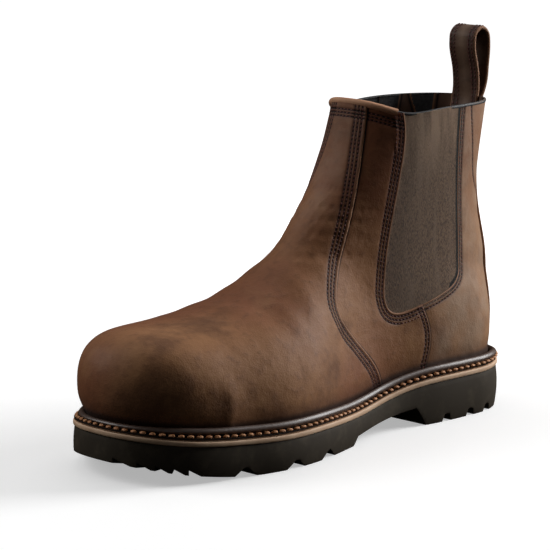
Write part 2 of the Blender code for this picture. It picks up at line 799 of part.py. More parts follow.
def make_outsole():
    """Moulded rubber unit with its heel, arch, toe spring and lugs."""
    wide = BALL_WIDTH
    loops = [
        outline_loop(lambda y: 0 * y, SOLE_BULGE, SOLE_BULGE),
        outline_loop(lambda y: edge_z(y) * SOLE_WIDEST, 0.0, 0.0),
        outline_loop(edge_z, SOLE_TOP_IN, SOLE_TOP_IN),
    ]
    outsole = slab("outsole", loops, "rubber")
    waist = np.array(WAIST)
    waist = np.stack([y_of(waist[:, 0]), waist[:, 1] * HEEL_HEIGHT], 1)
    boolean(outsole, "DIFFERENCE", prism("waist_cut", waist, -wide, wide))
    toe_y = y_of(np.linspace(TOE_SPRING[0][0], 1.0, SPRING_STEPS))
    spring = np.stack([toe_y, tread_z(toe_y)], 1)
    past = -LENGTH / 2 - CUT_REACH
    beyond = spring[-1, 1] + (spring[-1, 1] - spring[-2, 1]) / (toe_y[-2] - toe_y[-1]) * CUT_REACH
    spring = np.vstack([spring, [[past, beyond], [past, -HEEL_HEIGHT], [toe_y[0], -HEEL_HEIGHT]]])
    boolean(outsole, "DIFFERENCE", prism("toe_spring_cut", spring, -wide, wide))
    heel = LENGTH / 2
    bevel = [
        (heel - 2 * HEEL_BEVEL_LENGTH, -HEEL_BEVEL_RISE),
        (heel + HEEL_BEVEL_LENGTH, 2 * HEEL_BEVEL_RISE),
        (heel + HEEL_BEVEL_LENGTH, -HEEL_HEIGHT),
        (heel - 2 * HEEL_BEVEL_LENGTH, -HEEL_HEIGHT),
    ]
    boolean(outsole, "DIFFERENCE", prism("heel_bevel_cut", np.array(bevel), -wide, wide))
    for i, along in enumerate(SIDE_NOTCHES):
        for side, low, high in (("outer", CHANNEL_AT, wide), ("inner", -wide, -CHANNEL_AT)):
            cutter = notch(f"notch_{side}_{i}", along, NOTCH_FOOT, NOTCH_TOP, LUG_DEPTH, low, high)
            boolean(outsole, "DIFFERENCE", cutter)
    for i, along in enumerate(CENTRE_NOTCHES):
        size = (CENTRE_NOTCH, CENTRE_NOTCH_TOP, CENTRE_LUG_DEPTH)
        cutter = notch(f"notch_centre_{i}", along, *size, -CHANNEL_AT, CHANNEL_AT)
        boolean(outsole, "DIFFERENCE", cutter)
    for i, along in enumerate(HEEL_NOTCHES):
        cutter = notch(f"notch_heel_{i}", along, HEEL_NOTCH_FOOT, NOTCH_TOP, LUG_DEPTH, -wide, wide)
        boolean(outsole, "DIFFERENCE", cutter)
    for i, x in enumerate((-CHANNEL_AT, CHANNEL_AT)):
        boolean(outsole, "DIFFERENCE", long_channel(f"channel_{i}", x))
    for i in range(FIN_COUNT):
        angle = (i - (FIN_COUNT - 1) / 2) * FIN_PITCH
        boolean(outsole, "DIFFERENCE", toe_groove(f"toe_groove_{i}", angle))
    return outsole


def make_midsole():
    loops = [outline_loop(lambda y: edge_z(y) + GAP), outline_loop(midsole_top)]
    return slab("midsole", loops, "midsole")


def make_insole():
    """Board and footbed inside the upper."""
    inward = WALL + 2 * GAP
    heel_in = HEEL_REACH + inward
    toe_in = TOE_REACH + inward
    loops = [
        outline_loop(feather_z, heel_in, toe_in),
        outline_loop(lambda y: feather_z(y) + INSOLE_THICK, heel_in, toe_in),
    ]
    return slab("insole", loops, "insole")


def wall_reach(height, reach, bulge):
    """How far the upper's face is inside the outsole edge at a height over the feather line."""
    swell = min(row[3] for row in FOOT) * FOOT_RISE
    lean = max(0.0, 1 - height / swell) ** SWELL_POWER
    return reach - bulge * (1 - lean)


def make_welt():
    """Storm welt: a stitched lip with a ridge against the upper."""
    ridge_mid = WELT_RIDGE - 2 * WELT_CREST
    profile = []
    for reach, bulge in ((HEEL_REACH, HEEL_BULGE), (TOE_REACH, TOE_BULGE)):
        face = [wall_reach(h, reach, bulge) - WELT_CLEAR for h in (0.0, ridge_mid, WELT_RIDGE)]
        ridge = min(WELT_RIDGE_WIDTH, reach * WELT_RIDGE_MOST)
        foot = face[1] - ridge
        edge = WELT_EDGE_IN
        lip = [edge, edge, edge + WELT_BEVEL, edge + foot * WELT_GROOVE_FROM, foot * WELT_GROOVE_TO]
        crest = [foot + WELT_BEVEL, foot + 2 * WELT_CREST, face[2] - WELT_CREST, face[1], face[0]]
        profile.append(lip + crest)
    heights = [
        0.0,
        WELT_LIP - WELT_BEVEL,
        WELT_LIP,
        WELT_LIP,
        WELT_LIP - WELT_GROOVE,
        WELT_LIP + WELT_BEVEL,
        WELT_RIDGE - WELT_CREST,
        WELT_RIDGE,
        ridge_mid,
        0.0,
    ]
    loops = []
    for heel_in, toe_in, height in zip(profile[0], profile[1], heights):
        loops.append(outline_loop(lambda y, h=height: feather_z(y) + h, heel_in, toe_in))
    count = len(loops[0])
    faces = closed_grid_faces(len(loops), count)
    last = (len(loops) - 1) * count
    for j in range(count):
        right = (j + 1) % count
        faces.append((last + j, last + right, right, j))
    return link("welt", np.vstack(loops), faces, "welt")


def back_face_y(x, z, depth):
    """Back face of the shaft at a depth under the vamp's face."""
    front, back, outer, _ = shaft_sections(z)
    middle = (front + back) / 2
    reach = (back - front) / 2 - depth
    width = outer - depth
    return middle + reach * (1 - np.abs(x / width) ** SHAFT_POWER) ** (1 / SHAFT_POWER)


def loop_path():
    """Middle line of the strap: up inside the collar, round the loop, down outside."""
    base = float(collar_z(LENGTH / 2))
    half = LOOP_THICK / 2
    rows = np.array(LOOP_BOW)
    height = base + rows[:, 0] * LOOP_RISE
    inside = float(back_face_y(0.0, base, WALL)) - LOOP_CLEAR - half
    outside = float(back_face_y(0.0, base, COUNTER_STEP)) + GAP + half
    front = np.stack([inside - rows[:, 1] * LOOP_BOW_DEPTH, height], 1)
    back = np.stack([outside + rows[:, 2] * LOOP_BOW_DEPTH, height], 1)
    crown = [[(inside + outside) / 2, base + LOOP_RISE - half]]
    low = base - np.linspace(LOOP_TAIL_INSIDE, 0, LOOP_TAIL_STEPS)[:-1]
    inner_tail = np.stack([back_face_y(0.0, low, WALL) - LOOP_CLEAR - half, low], 1)
    low = base - np.linspace(0, LOOP_TAIL_OUTSIDE, LOOP_TAIL_STEPS)[1:]
    outer_tail = np.stack([back_face_y(0.0, low, COUNTER_STEP) + GAP + half, low], 1)
    return smooth_path(np.vstack([inner_tail, front, crown, back[::-1], outer_tail]), LOOP_STEPS), base


def make_pull_loop():
    """Leather strap that straddles the back of the collar, with both ends sewn down."""
    path, base = loop_path()
    ahead = np.gradient(path, axis=0)
    ahead /= np.linalg.norm(ahead, axis=1, keepdims=True)
    out = np.stack([-ahead[:, 1], ahead[:, 0]], 1) * LOOP_THICK / 2
    ends = (LOOP_STEPS * LOOP_TAPER_FROM, LOOP_STEPS - 1)
    taper = np.interp(np.arange(LOOP_STEPS), ends, (1, LOOP_TAPER))
    across = np.linspace(-1, 1, LOOP_COLUMNS)
    points = []
    for side in (1, -1):
        for (y, z), (out_y, out_z), narrow in zip(path, side * out, taper):
            x = across * narrow * LOOP_WIDTH / 2
            held = min(z, base)
            bend = back_face_y(0.0, held, COUNTER_STEP) - back_face_y(x, held, COUNTER_STEP)
            flat = np.clip((z - base) / LOOP_FLATTEN, 0, 1)
            y_row = y + out_y - bend * (1 - flat) ** 2
            points += list(zip(x, y_row, np.full_like(x, z + out_z)))
    count = LOOP_STEPS * LOOP_COLUMNS
    faces = []
    for first in (0, count):
        for i in range(LOOP_STEPS - 1):
            for j in range(LOOP_COLUMNS - 1):
                a = first + i * LOOP_COLUMNS + j
                faces.append((a, a + 1, a + LOOP_COLUMNS + 1, a + LOOP_COLUMNS))
    for i in range(LOOP_STEPS - 1):
        for a in (i * LOOP_COLUMNS, i * LOOP_COLUMNS + LOOP_COLUMNS - 1):
            faces.append((a, a + LOOP_COLUMNS, count + a + LOOP_COLUMNS, count + a))
    for j in range(LOOP_COLUMNS - 1):
        for a in (j, count - LOOP_COLUMNS + j):
            faces.append((a, a + 1, count + a + 1, count + a))
    return link("pull_loop", points, faces, "leather")


def make_material(name, colour, roughness, metallic):
    material = bpy.data.materials.new(name)
    material.use_nodes = True
    shader = material.node_tree.nodes["Principled BSDF"]
    shader.inputs["Base Color"].default_value = (*colour, 1.0)
    shader.inputs["Roughness"].default_value = roughness
    shader.inputs["Metallic"].default_value = metallic
    return material


def stand_over_origin(widest):
    """Parents everything to one empty, which puts the middle of the base at the origin."""
    corners = np.array([corner[:] for item in widest for corner in item.bound_box])
    middle = (corners.min(0) + corners.max(0)) / 2
    root = bpy.data.objects.new("boot", None)
    bpy.context.scene.collection.objects.link(root)
    for item in list(bpy.data.objects):
        if item is not root:
            item.parent = root
    root.location = (-middle[0], -middle[1], 0.0)


for old in list(bpy.data.objects):
    bpy.data.objects.remove(old)
MADE = {name: make_material(name, *look) for name, look in MATERIALS.items()}

sole = make_outsole()
make_midsole()
make_welt()
make_insole()
make_upper()
make_gores()
make_back_strip()
loop = make_pull_loop()
stand_over_origin([sole, loop])
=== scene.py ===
import math

import bmesh
import bpy
import numpy as np
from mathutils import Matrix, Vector
from mathutils.kdtree import KDTree


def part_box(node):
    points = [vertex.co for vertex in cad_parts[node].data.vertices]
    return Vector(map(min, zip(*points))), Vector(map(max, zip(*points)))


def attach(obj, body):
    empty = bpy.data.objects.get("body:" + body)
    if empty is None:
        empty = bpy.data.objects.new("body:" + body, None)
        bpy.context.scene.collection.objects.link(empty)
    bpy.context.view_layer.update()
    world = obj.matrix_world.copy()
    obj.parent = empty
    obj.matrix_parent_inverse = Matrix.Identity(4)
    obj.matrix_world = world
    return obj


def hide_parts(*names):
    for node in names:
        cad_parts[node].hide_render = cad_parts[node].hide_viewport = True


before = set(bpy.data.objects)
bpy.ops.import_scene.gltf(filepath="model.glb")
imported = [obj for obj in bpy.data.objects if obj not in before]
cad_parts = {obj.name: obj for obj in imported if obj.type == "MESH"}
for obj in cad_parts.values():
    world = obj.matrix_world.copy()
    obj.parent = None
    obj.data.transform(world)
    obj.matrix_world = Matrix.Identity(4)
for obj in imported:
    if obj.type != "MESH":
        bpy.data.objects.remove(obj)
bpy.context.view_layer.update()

# Side gore work boot, left foot, outer side +X, toe towards -Y, floor at z = 0.
# Shapes are worked out in the last's own frame and moved to the frame's place when they are linked.

MM = 0.001

# Main sizes, as in the solids
LENGTH = 310 * MM
BALL_WIDTH = 115 * MM
HEEL_HEIGHT = 26 * MM
FOOT_RISE = 100 * MM
SHAFT_RISE = 164 * MM
SHAFT_WIDTH = 73 * MM
GAP = 0.3 * MM
MIDSOLE_THICK = 3.0 * MM
WALL = 3.4 * MM
QUARTER_STEP = 1.2 * MM
COUNTER_STEP = 2.0 * MM
GORE_STEP = 2.2 * MM
STRIP_THICK = 1.3 * MM
HEEL_REACH = 5 * MM
TOE_REACH = 9 * MM
HEEL_BULGE = 2.5 * MM
TOE_BULGE = 5 * MM
LUG_DEPTH = 5.2 * MM

# Outsole edge: half widths on each side, in shares of BALL_WIDTH
OUTLINE = (
    # along, outer, inner
    (0.00, 0.358, 0.352),
    (0.12, 0.370, 0.362),
    (0.25, 0.370, 0.348),
    (0.38, 0.345, 0.318),
    (0.50, 0.415, 0.335),
    (0.62, 0.505, 0.415),
    (0.72, 0.520, 0.480),
    (0.82, 0.472, 0.490),
    (0.92, 0.445, 0.475),
    (1.00, 0.420, 0.450),
)
HEEL_ROUND = 0.135
TOE_ROUND = 0.20
HEEL_POWER = 2.1
TOE_POWER = 2.25
PLAN_POWER = 2.2

# Top of the outsole, in shares of HEEL_HEIGHT above the floor
EDGE = (
    # along, height
    (0.00, 0.996),
    (0.15, 0.958),
    (0.30, 0.908),
    (0.45, 0.638),
    (0.60, 0.650),
    (0.72, 0.662),
    (0.82, 0.715),
    (0.92, 0.827),
    (1.00, 0.977),
)
WAIST = (
    # along, height
    (0.278, -0.10),
    (0.280, 0.00),
    (0.307, 0.46),
    (0.350, 0.41),
    (0.400, 0.33),
    (0.450, 0.25),
    (0.487, 0.20),
    (0.500, 0.00),
    (0.503, -0.10),
)
TOE_SPRING = (
    # along, height
    (0.740, -0.010),
    (0.820, 0.045),
    (0.870, 0.125),
    (0.920, 0.225),
    (0.965, 0.345),
    (1.000, 0.445),
)
SIDE_NOTCHES = (0.595, 0.690, 0.803)
CENTRE_NOTCHES = (0.545, 0.640, 0.745)
HEEL_NOTCHES = (0.1045, 0.158, 0.226)

FOOT = (
    # along, crest, top, swell, shoulder, arch
    (0.00, 0.000, 0.546, 0.20, 1.20, 2.4),
    (0.15, 0.000, 0.668, 0.20, 1.20, 2.4),
    (0.28, -0.009, 0.851, 0.20, 1.10, 2.0),
    (0.38, -0.017, 1.012, 0.20, 1.00, 1.8),
    (0.46, -0.026, 1.051, 0.19, 0.95, 1.7),
    (0.52, -0.026, 0.940, 0.18, 0.95, 1.7),
    (0.57, -0.026, 0.828, 0.18, 1.00, 1.8),
    (0.64, -0.026, 0.700, 0.18, 1.05, 1.9),
    (0.70, -0.026, 0.642, 0.18, 1.10, 2.0),
    (0.80, -0.026, 0.576, 0.18, 1.30, 2.2),
    (0.90, -0.017, 0.546, 0.19, 1.70, 2.3),
    (1.00, -0.017, 0.523, 0.20, 1.90, 2.3),
)
CREST_LEAN = 0.40
CREST_END = 0.675
CREST_FADE = 0.365
SHAFT = (
    # rise, front along, back along, outer, inner
    (-0.03, 0.371, 0.026, 0.411, 0.411),
    (0.13, 0.390, 0.013, 0.473, 0.473),
    (0.25, 0.416, 0.006, 0.480, 0.480),
    (0.40, 0.455, 0.004, 0.473, 0.473),
    (0.53, 0.471, 0.019, 0.473, 0.473),
    (0.66, 0.445, 0.029, 0.480, 0.480),
    (0.82, 0.402, 0.023, 0.493, 0.493),
    (1.02, 0.369, 0.005, 0.500, 0.500),
)
SHAFT_POWER = 2.2
FOOT_SCALE = 35 * MM
SHAFT_SCALE = 40 * MM
INSTEP_BLEND = 12 * MM
BLEND_FULL = 0.30
FRONT_RAYS = (
    # share of the way up, along, rise, tilt
    (0.00, 0.855, 0.047, -14),
    (0.10, 0.855, 0.066, 12),
    (0.22, 0.842, 0.102, 55),
    (0.34, 0.797, 0.127, 86),
    (0.50, 0.661, 0.157, 100),
    (0.64, 0.516, 0.248, 92),
    (0.76, 0.355, 0.461, 50),
    (0.88, 0.268, 0.735, 20),
    (1.00, 0.216, 1.000, 0),
)
BACK_RAY_ALONG = 0.21
BACK_TOP_RISE = 0.966
COLLAR = (
    # along, rise
    (0.000, 0.966),
    (0.148, 0.969),
    (0.242, 0.963),
    (0.313, 0.963),
    (0.371, 1.001),
    (0.435, 1.011),
)
VAMP_SEAM = (
    # along, rise
    (0.358, 1.060),
    (0.363, 0.975),
    (0.387, 0.802),
    (0.423, 0.620),
    (0.461, 0.467),
    (0.495, 0.352),
    (0.497, 0.282),
    (0.474, 0.210),
    (0.430, 0.128),
    (0.394, 0.043),
    (0.372, -0.060),
)
HEEL_SEAM = (
    # along, rise
    (0.281, 0.290),
    (0.265, 0.210),
    (0.259, 0.150),
    (0.262, 0.090),
    (0.268, 0.035),
    (0.278, -0.060),
)
GORE = (
    # along, rise
    (0.317, 1.060),
    (0.307, 0.900),
    (0.324, 0.730),
    (0.346, 0.550),
    (0.361, 0.370),
    (0.363, 0.300),
    (0.352, 0.256),
    (0.325, 0.243),
    (0.280, 0.261),
    (0.205, 0.303),
    (0.172, 0.340),
    (0.160, 0.400),
    (0.160, 0.580),
    (0.169, 0.820),
    (0.163, 1.060),
)
CORNER_ROW = (
    # along, rise
    (0.137, 1.060),
    (0.130, 0.958),
    (0.117, 0.840),
    (0.104, 0.731),
    (0.085, 0.665),
    (0.050, 0.612),
    (0.005, 0.585),
    (-0.040, 0.560),
    (-0.060, 0.300),
    (-0.060, -0.060),
)
BACK_STRIP = (
    # rise, half width in shares of SHAFT_WIDTH
    (0.075, 0.300),
    (0.250, 0.290),
    (0.450, 0.230),
    (0.640, 0.190),
    (0.770, 0.185),
)

# Detail of the leather
RINGS = 150
RING_SIDE = 150
DENSE = 420
SEAM_STEPS = 260
LOW_BEND_TO = 0.40  # rings up to this share of the way up follow the feather line
HIGH_BEND_FROM = 0.72  # rings from this share on follow the collar
EDGE_ROUND = 0.8 * MM  # rounding of a cut leather edge
EDGE_FALL = 0.8  # how deep it goes, in shares of its width
FAR = 9.0  # mark of a point that is far from a seam, in mm
HIGH_UP = 200.0  # mark of a point that is far above the sole, in mm
SKIRT = 1.3 * MM  # how deep a panel's cut edge goes
OVERLAP = 6 * MM  # how far a panel runs on under its neighbour
SNAP = 0.06 * MM  # a point nearer than this to a cut is on it
ROW_DIP = 0.45 * MM  # how far a row of stitches pulls the leather in
ROW_WIDTH = 0.75 * MM
ROW_SIDE = 0.85 * MM  # cuts this far beside a row
ROW_CLEAR = 1 * MM  # a row ends this far from rows or a strip that it meets
SEAM_CLEAR = 0.5 * MM  # a row ends this far from the panel that covers it
VAMP_ROWS = (2.6 * MM, 4.9 * MM, 7.2 * MM)
HEEL_ROWS = (1.6 * MM, 3.9 * MM)
HEEL_ROWS_TO = 0.25  # rise of the upper end of the heel seam's rows
STRIP_ROW = 2.2 * MM
GORE_ROWS = (2.0 * MM, 4.1 * MM)
GORE_FRONT_ROW = 6.2 * MM
FRONT_ROW_FROM = 0.33  # in front of this the elastic's seam has a third row
ROLL_FROM = 0.31  # in front of this the collar has rows of stitches
COLLAR_ROWS = (5.2 * MM, 7.2 * MM, 9.2 * MM)  # below the collar line
GORE_SWELL = 0.5 * MM  # how far the elastic stands out in its middle
GORE_SWELL_REACH = 14 * MM
GORE_UNDER = 3 * MM  # how far the elastic runs on under the leather
GORE_MIDDLE = 0.2  # behind this the elastic has a painted shadow along its rim
PRESSED_HEIGHT = 10 * MM
PRESSED_KEPT = 0.2
PALE_REACH = 12 * MM  # the leather gets pale behind the heel seam, and high on the vamp
PALE_FROM = 0.5
PALE_RUN = 0.25
PALE_SHAFT = 0.45
RIM_ALONG = 0.835  # place of the toe cap's rear rim
RIM_RISE = 1.9 * MM  # height of the ridge over the rim
RIM_REACH = 8 * MM
RIM_SOFT = 1.2 * MM
RIM_STEP = 0.5 * MM
RIM_TOP = 22 * MM  # above this the ridge fades out
RIM_FADE = 16 * MM
RIM_FOOT = 6 * MM
RIM_CURVE = 0.10  # how far the rim bends back towards both sides
TOE_FULL = 1.3 * MM
TOE_FULL_FROM = 0.80
TOE_FULL_RUN = 0.14
TOE_FULL_RISE = 16 * MM
STITCH_PITCH = 2.5 * MM
STITCH_LONG = 1.6 * MM
STITCH_THICK = 0.85 * MM
STITCH_FLAT = 0.8
STITCH_LIFT = 0.12 * MM

WELT_LIP = 1.5 * MM  # height of the stitched lip
WELT_PITCH = 5.3 * MM
WELT_STITCH = (3.7 * MM, 2.6 * MM, 1.9 * MM)  # length, width, thickness
WELT_SLANT = 0.25
WELT_SEWN = (0.5, 0.0, 2.0)  # place of the stitches on the welt, as in WELT_PROFILE
WELT_STITCH_RISE = 2.1 * MM
WELT_RIDGE = 3.2 * MM
WELT_RIDGE_SHARE = 0.55
WELT_RIDGE_AT = 5 * MM
WELT_SET_BACK = 0.5 * MM
WELT_SWELL = 0.18  # height of the upper's widest place, in shares of FOOT_RISE
WELT_TAN_TO = 0.4  # in mm, like the profile's heights
WELT_BEAD_FROM = 2.8


def natural_spline(xs, ys, x):
    """Smooth curve through a few rows, with no bend at its two ends."""
    xs = np.asarray(xs, float)
    ys = np.asarray(ys, float)
    step = np.diff(xs)
    count = len(xs)
    system = np.eye(count)
    right = np.zeros(count)
    for i in range(1, count - 1):
        system[i, i - 1] = step[i - 1]
        system[i, i] = 2 * (step[i - 1] + step[i])
        system[i, i + 1] = step[i]
        right[i] = 6 * ((ys[i + 1] - ys[i]) / step[i] - (ys[i] - ys[i - 1]) / step[i - 1])
    bend = np.linalg.solve(system, right)
    x = np.clip(x, xs[0], xs[-1])
    k = np.clip(np.searchsorted(xs, x) - 1, 0, count - 2)
    a = (xs[k + 1] - x) / step[k]
    b = (x - xs[k]) / step[k]
    curved = ((a**3 - a) * bend[k] + (b**3 - b) * bend[k + 1]) * step[k] ** 2 / 6
    return a * ys[k] + b * ys[k + 1] + curved


def column(table, index, at):
    rows = np.array(table, float)
    return natural_spline(rows[:, 0], rows[:, index], at)


def smooth_path(points, steps):
    points = np.asarray(points, float)
    at = np.arange(len(points))
    fine = np.linspace(0, len(points) - 1, steps)
    return np.stack([natural_spline(at, points[:, k], fine) for k in range(points.shape[1])], 1)


def smooth_step(t):
    t = np.clip(t, 0, 1)
    return t * t * (3 - 2 * t)


def unit(rows):
    """Vectors brought to a length of one."""
    return rows / np.linalg.norm(rows, axis=-1, keepdims=True)


def run_along(points):
    """Length of a path up to each of its points."""
    return np.r_[0, np.cumsum(np.linalg.norm(np.diff(points, axis=0), axis=1))]


def sampled(at, run, rows):
    """The three columns of a path at some lengths along it."""
    return np.stack([np.interp(at, run, rows[:, k]) for k in range(3)], 1)


def along_of(y):
    return 0.5 - y / LENGTH


def y_of(along):
    return (0.5 - np.asarray(along, float)) * LENGTH


def edge_z(y):
    return column(EDGE, 1, along_of(y)) * HEEL_HEIGHT


def midsole_top(y):
    return edge_z(y) + GAP + MIDSOLE_THICK


def feather_z(y):
    return midsole_top(y) + GAP


def heel_seat():
    return float(feather_z(LENGTH / 2))


def z_of(rise):
    return heel_seat() + np.asarray(rise, float) * SHAFT_RISE


def rise_of(z):
    return (z - heel_seat()) / SHAFT_RISE


def end_terms(along):
    heel = np.clip((HEEL_ROUND - along) / HEEL_ROUND, 0, None)
    toe = np.clip((along - 1 + TOE_ROUND) / TOE_ROUND, 0, None)
    return heel**HEEL_POWER + toe**TOE_POWER


def plan(y, side, heel_in, toe_in):
    low = heel_in / LENGTH
    high = 1 - toe_in / LENGTH
    share = (along_of(y) - low) / (high - low)
    held = np.clip(share, 0, 1)
    width = np.where(np.asarray(side) > 0, column(OUTLINE, 1, held), column(OUTLINE, 2, held))
    return width * BALL_WIDTH - (heel_in + (toe_in - heel_in) * held), end_terms(share)


def half_width(y, side, heel_in=0.0, toe_in=0.0):
    width, ends = plan(y, side, heel_in, toe_in)
    return width * np.clip(1 - ends, 0, 1) ** (1 / PLAN_POWER)


def crest_x(y, z):
    lean = np.clip((z - feather_z(y)) / (CREST_LEAN * FOOT_RISE), 0, 1)
    fade = np.clip((CREST_END - rise_of(z)) / CREST_FADE, 0, 1)
    return column(FOOT, 1, along_of(y)) * BALL_WIDTH * lean * fade


def foot_field(x, y, z):
    share = along_of(y)
    side = np.where(x >= 0, 1, -1)
    feather = feather_z(y)
    widest = feather + column(FOOT, 3, share) * FOOT_RISE
    lean = np.clip((widest - z) / (widest - feather), 0, 1.3) ** 2
    heel_in = HEEL_REACH - HEEL_BULGE * (1 - lean)
    toe_in = TOE_REACH - TOE_BULGE * (1 - lean)
    width, ends = plan(y, side, heel_in, toe_in)
    around = (np.abs(x) / width) ** PLAN_POWER + ends
    height = feather + column(FOOT, 2, share) * FOOT_RISE - widest
    up = np.clip((z - widest) / height, 0, None)
    value = around ** column(FOOT, 4, share) + up ** column(FOOT, 5, share)
    return (np.sqrt(value) - 1) * FOOT_SCALE


def shaft_sections(z):
    rise = rise_of(z)
    front = y_of(column(SHAFT, 1, rise))
    back = y_of(column(SHAFT, 2, rise))
    return front, back, column(SHAFT, 3, rise) * SHAFT_WIDTH, column(SHAFT, 4, rise) * SHAFT_WIDTH


def shaft_field(x, y, z):
    front, back, outer, inner = shaft_sections(z)
    width = np.where(x >= 0, outer, inner)
    middle = (front + back) / 2
    depth = (back - front) / 2
    value = (np.abs(x) / width) ** SHAFT_POWER + (np.abs(y - middle) / depth) ** SHAFT_POWER
    return (value ** (1 / SHAFT_POWER) - 1) * SHAFT_SCALE


def body_field(x, y, z):
    x = x - crest_x(y, z)
    foot = foot_field(x, y, z)
    shaft = shaft_field(x, y, z)
    blend = INSTEP_BLEND * np.clip(rise_of(z) / BLEND_FULL, 0.01, 1)
    near = np.clip(blend - np.abs(foot - shaft), 0, None) / blend
    return np.minimum(foot, shaft) - near**2 * blend / 4


def leave_body(start, way, reach):
    marks = np.linspace(0, reach, 25)
    values = np.stack([body_field(*(start + way * m).T) for m in marks])
    outside = values > 0
    first = np.where(outside.any(0), outside.argmax(0), len(marks) - 1)
    high = marks[first]
    low = marks[np.maximum(first - 1, 0)]
    for _ in range(26):
        middle = (low + high) / 2
        inside = body_field(*(start + way * middle[:, None]).T) < 0
        low = np.where(inside, middle, low)
        high = np.where(inside, high, middle)
    return start + way * ((low + high) / 2)[:, None]


def front_profile(shares):
    y = y_of(column(FRONT_RAYS, 1, shares))
    z = z_of(column(FRONT_RAYS, 2, shares))
    tilt = np.radians(column(FRONT_RAYS, 3, shares))
    start = np.stack([crest_x(y, z), y, z], 1)
    way = np.stack([0 * tilt, -np.cos(tilt), np.sin(tilt)], 1)
    return leave_body(start, way, LENGTH / 2)


def back_profile(shares):
    z = z_of(BACK_TOP_RISE * np.asarray(shares, float))
    start = np.stack([0 * z, np.full_like(z, y_of(BACK_RAY_ALONG)), z], 1)
    return leave_body(start, np.tile([0.0, 1.0, 0.0], (len(z), 1)), LENGTH / 2)


def collar_z(y):
    return z_of(column(COLLAR, 1, along_of(y)))


def even_points(points, count):
    run = run_along(points)
    return sampled(np.linspace(0, run[-1], count), run, points)


def last_rings(shares, per_side, dense):
    """Closed rings from the feather line to the collar: front, outer side, back, inner side."""
    fronts = front_profile(shares)
    backs = back_profile(shares)
    across = (1 - np.cos(np.linspace(0, np.pi, dense))) / 2
    low_y = fronts[0, 1] + (backs[0, 1] - fronts[0, 1]) * across
    low_bend = feather_z(low_y) - fronts[0, 2] - (backs[0, 2] - fronts[0, 2]) * across
    high_y = fronts[-1, 1] + (backs[-1, 1] - fronts[-1, 1]) * across
    high_bend = collar_z(high_y) - fronts[-1, 2] - (backs[-1, 2] - fronts[-1, 2]) * across
    share = np.asarray(shares)[:, None]
    y = fronts[:, 1:2] + (backs[:, 1:2] - fronts[:, 1:2]) * across
    z = fronts[:, 2:3] + (backs[:, 2:3] - fronts[:, 2:3]) * across
    z = z + np.clip(1 - share / LOW_BEND_TO, 0, 1) ** 2 * low_bend
    z = z + np.clip((share - HIGH_BEND_FROM) / (1 - HIGH_BEND_FROM), 0, 1) ** 2 * high_bend
    middle = np.stack([crest_x(y, z), y, z], 2)
    within = middle[:, 1:-1].reshape(-1, 3)
    sides = []
    for sign in (1.0, -1.0):
        way = np.tile([sign, 0.0, 0.0], (len(within), 1))
        wall = leave_body(within, way, BALL_WIDTH).reshape(len(shares), dense - 2, 3)
        walls = np.concatenate([middle[:, :1], wall, middle[:, -1:]], 1)
        sides.append(np.stack([even_points(line, per_side + 1) for line in walls]))
    return np.concatenate([sides[0], sides[1][:, ::-1][:, 1:-1]], 1)


def ring_normals(rings):
    around = np.roll(rings, -1, 1) - np.roll(rings, 1, 1)
    up = np.gradient(rings, axis=0)
    normals = unit(np.cross(around, up))
    outward = ((rings - rings.mean(1, keepdims=True)) * normals).sum(2).mean()
    return normals if outward > 0 else -normals


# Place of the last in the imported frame
outsole_low, outsole_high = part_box("outsole")
DENSE_Y = np.linspace(-LENGTH / 2, LENGTH / 2, 600)
OWN_X = (half_width(DENSE_Y, 1).max() - half_width(DENSE_Y, -1).max()) / 2
SHIFT = np.array([(outsole_low.x + outsole_high.x) / 2 - OWN_X, (outsole_low.y + outsole_high.y) / 2, 0.0])

LAST = last_rings(np.linspace(0, 1, RINGS), RING_SIDE, DENSE)
NORMALS = ring_normals(LAST)


def grid_faces(rows, columns):
    """Faces of a tube of rings, open at both ends."""
    faces = []
    for i in range(rows - 1):
        for j in range(columns):
            right = (j + 1) % columns
            a = i * columns
            faces.append((a + j, a + right, a + columns + right, a + columns + j))
    return faces


def closed_faces(rows, columns):
    """Faces of a tube of rings, with a cap on each end."""
    last = (rows - 1) * columns
    return grid_faces(rows, columns) + [tuple(range(columns)), tuple(range(last, last + columns))]


def new_mesh(name, points, faces, marks):
    """A mesh with its faces turned outward. marks are values at its points, for its material."""
    mesh = bpy.data.meshes.new(name)
    mesh.from_pydata(np.asarray(points, float).tolist(), [], faces)
    for key, values in marks.items():
        attribute = mesh.attributes.new(key, "FLOAT", "POINT")
        attribute.data.foreach_set("value", np.asarray(values, np.float32))
    work = bmesh.new()
    work.from_mesh(mesh)
    bmesh.ops.recalc_face_normals(work, faces=work.faces)
    work.to_mesh(mesh)
    work.free()
    return mesh


def add_object(name, data):
    item = bpy.data.objects.new(name, data)
    bpy.context.scene.collection.objects.link(item)
    return item


def link(name, points, faces, material, slot, replaces=(), marks=None, angle=50):
    """A piece on the root body, from points in the last's frame."""
    mesh = new_mesh(name, np.asarray(points, float) + SHIFT, faces, marks or {})
    mesh.shade_smooth()
    mesh.set_sharp_from_angle(angle=math.radians(angle))
    mesh.materials.append(material)
    item = add_object(name, mesh)
    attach(item, "root")
    if replaces:
        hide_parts(*replaces)


# Seams as lines on the last


def side_path(rows, steps):
    rows = np.array(rows, float)
    return smooth_path(np.stack([y_of(rows[:, 0]), z_of(rows[:, 1])], 1), steps)


def on_last(path):
    """A side-view path on the outer side and on the inner side of the last."""
    lines = []
    for sign in (1.0, -1.0):
        start = np.stack([crest_x(path[:, 0], path[:, 1]), path[:, 0], path[:, 1]], 1)
        lines.append(leave_body(start, np.tile([sign, 0.0, 0.0], (len(path), 1)), BALL_WIDTH))
    return lines


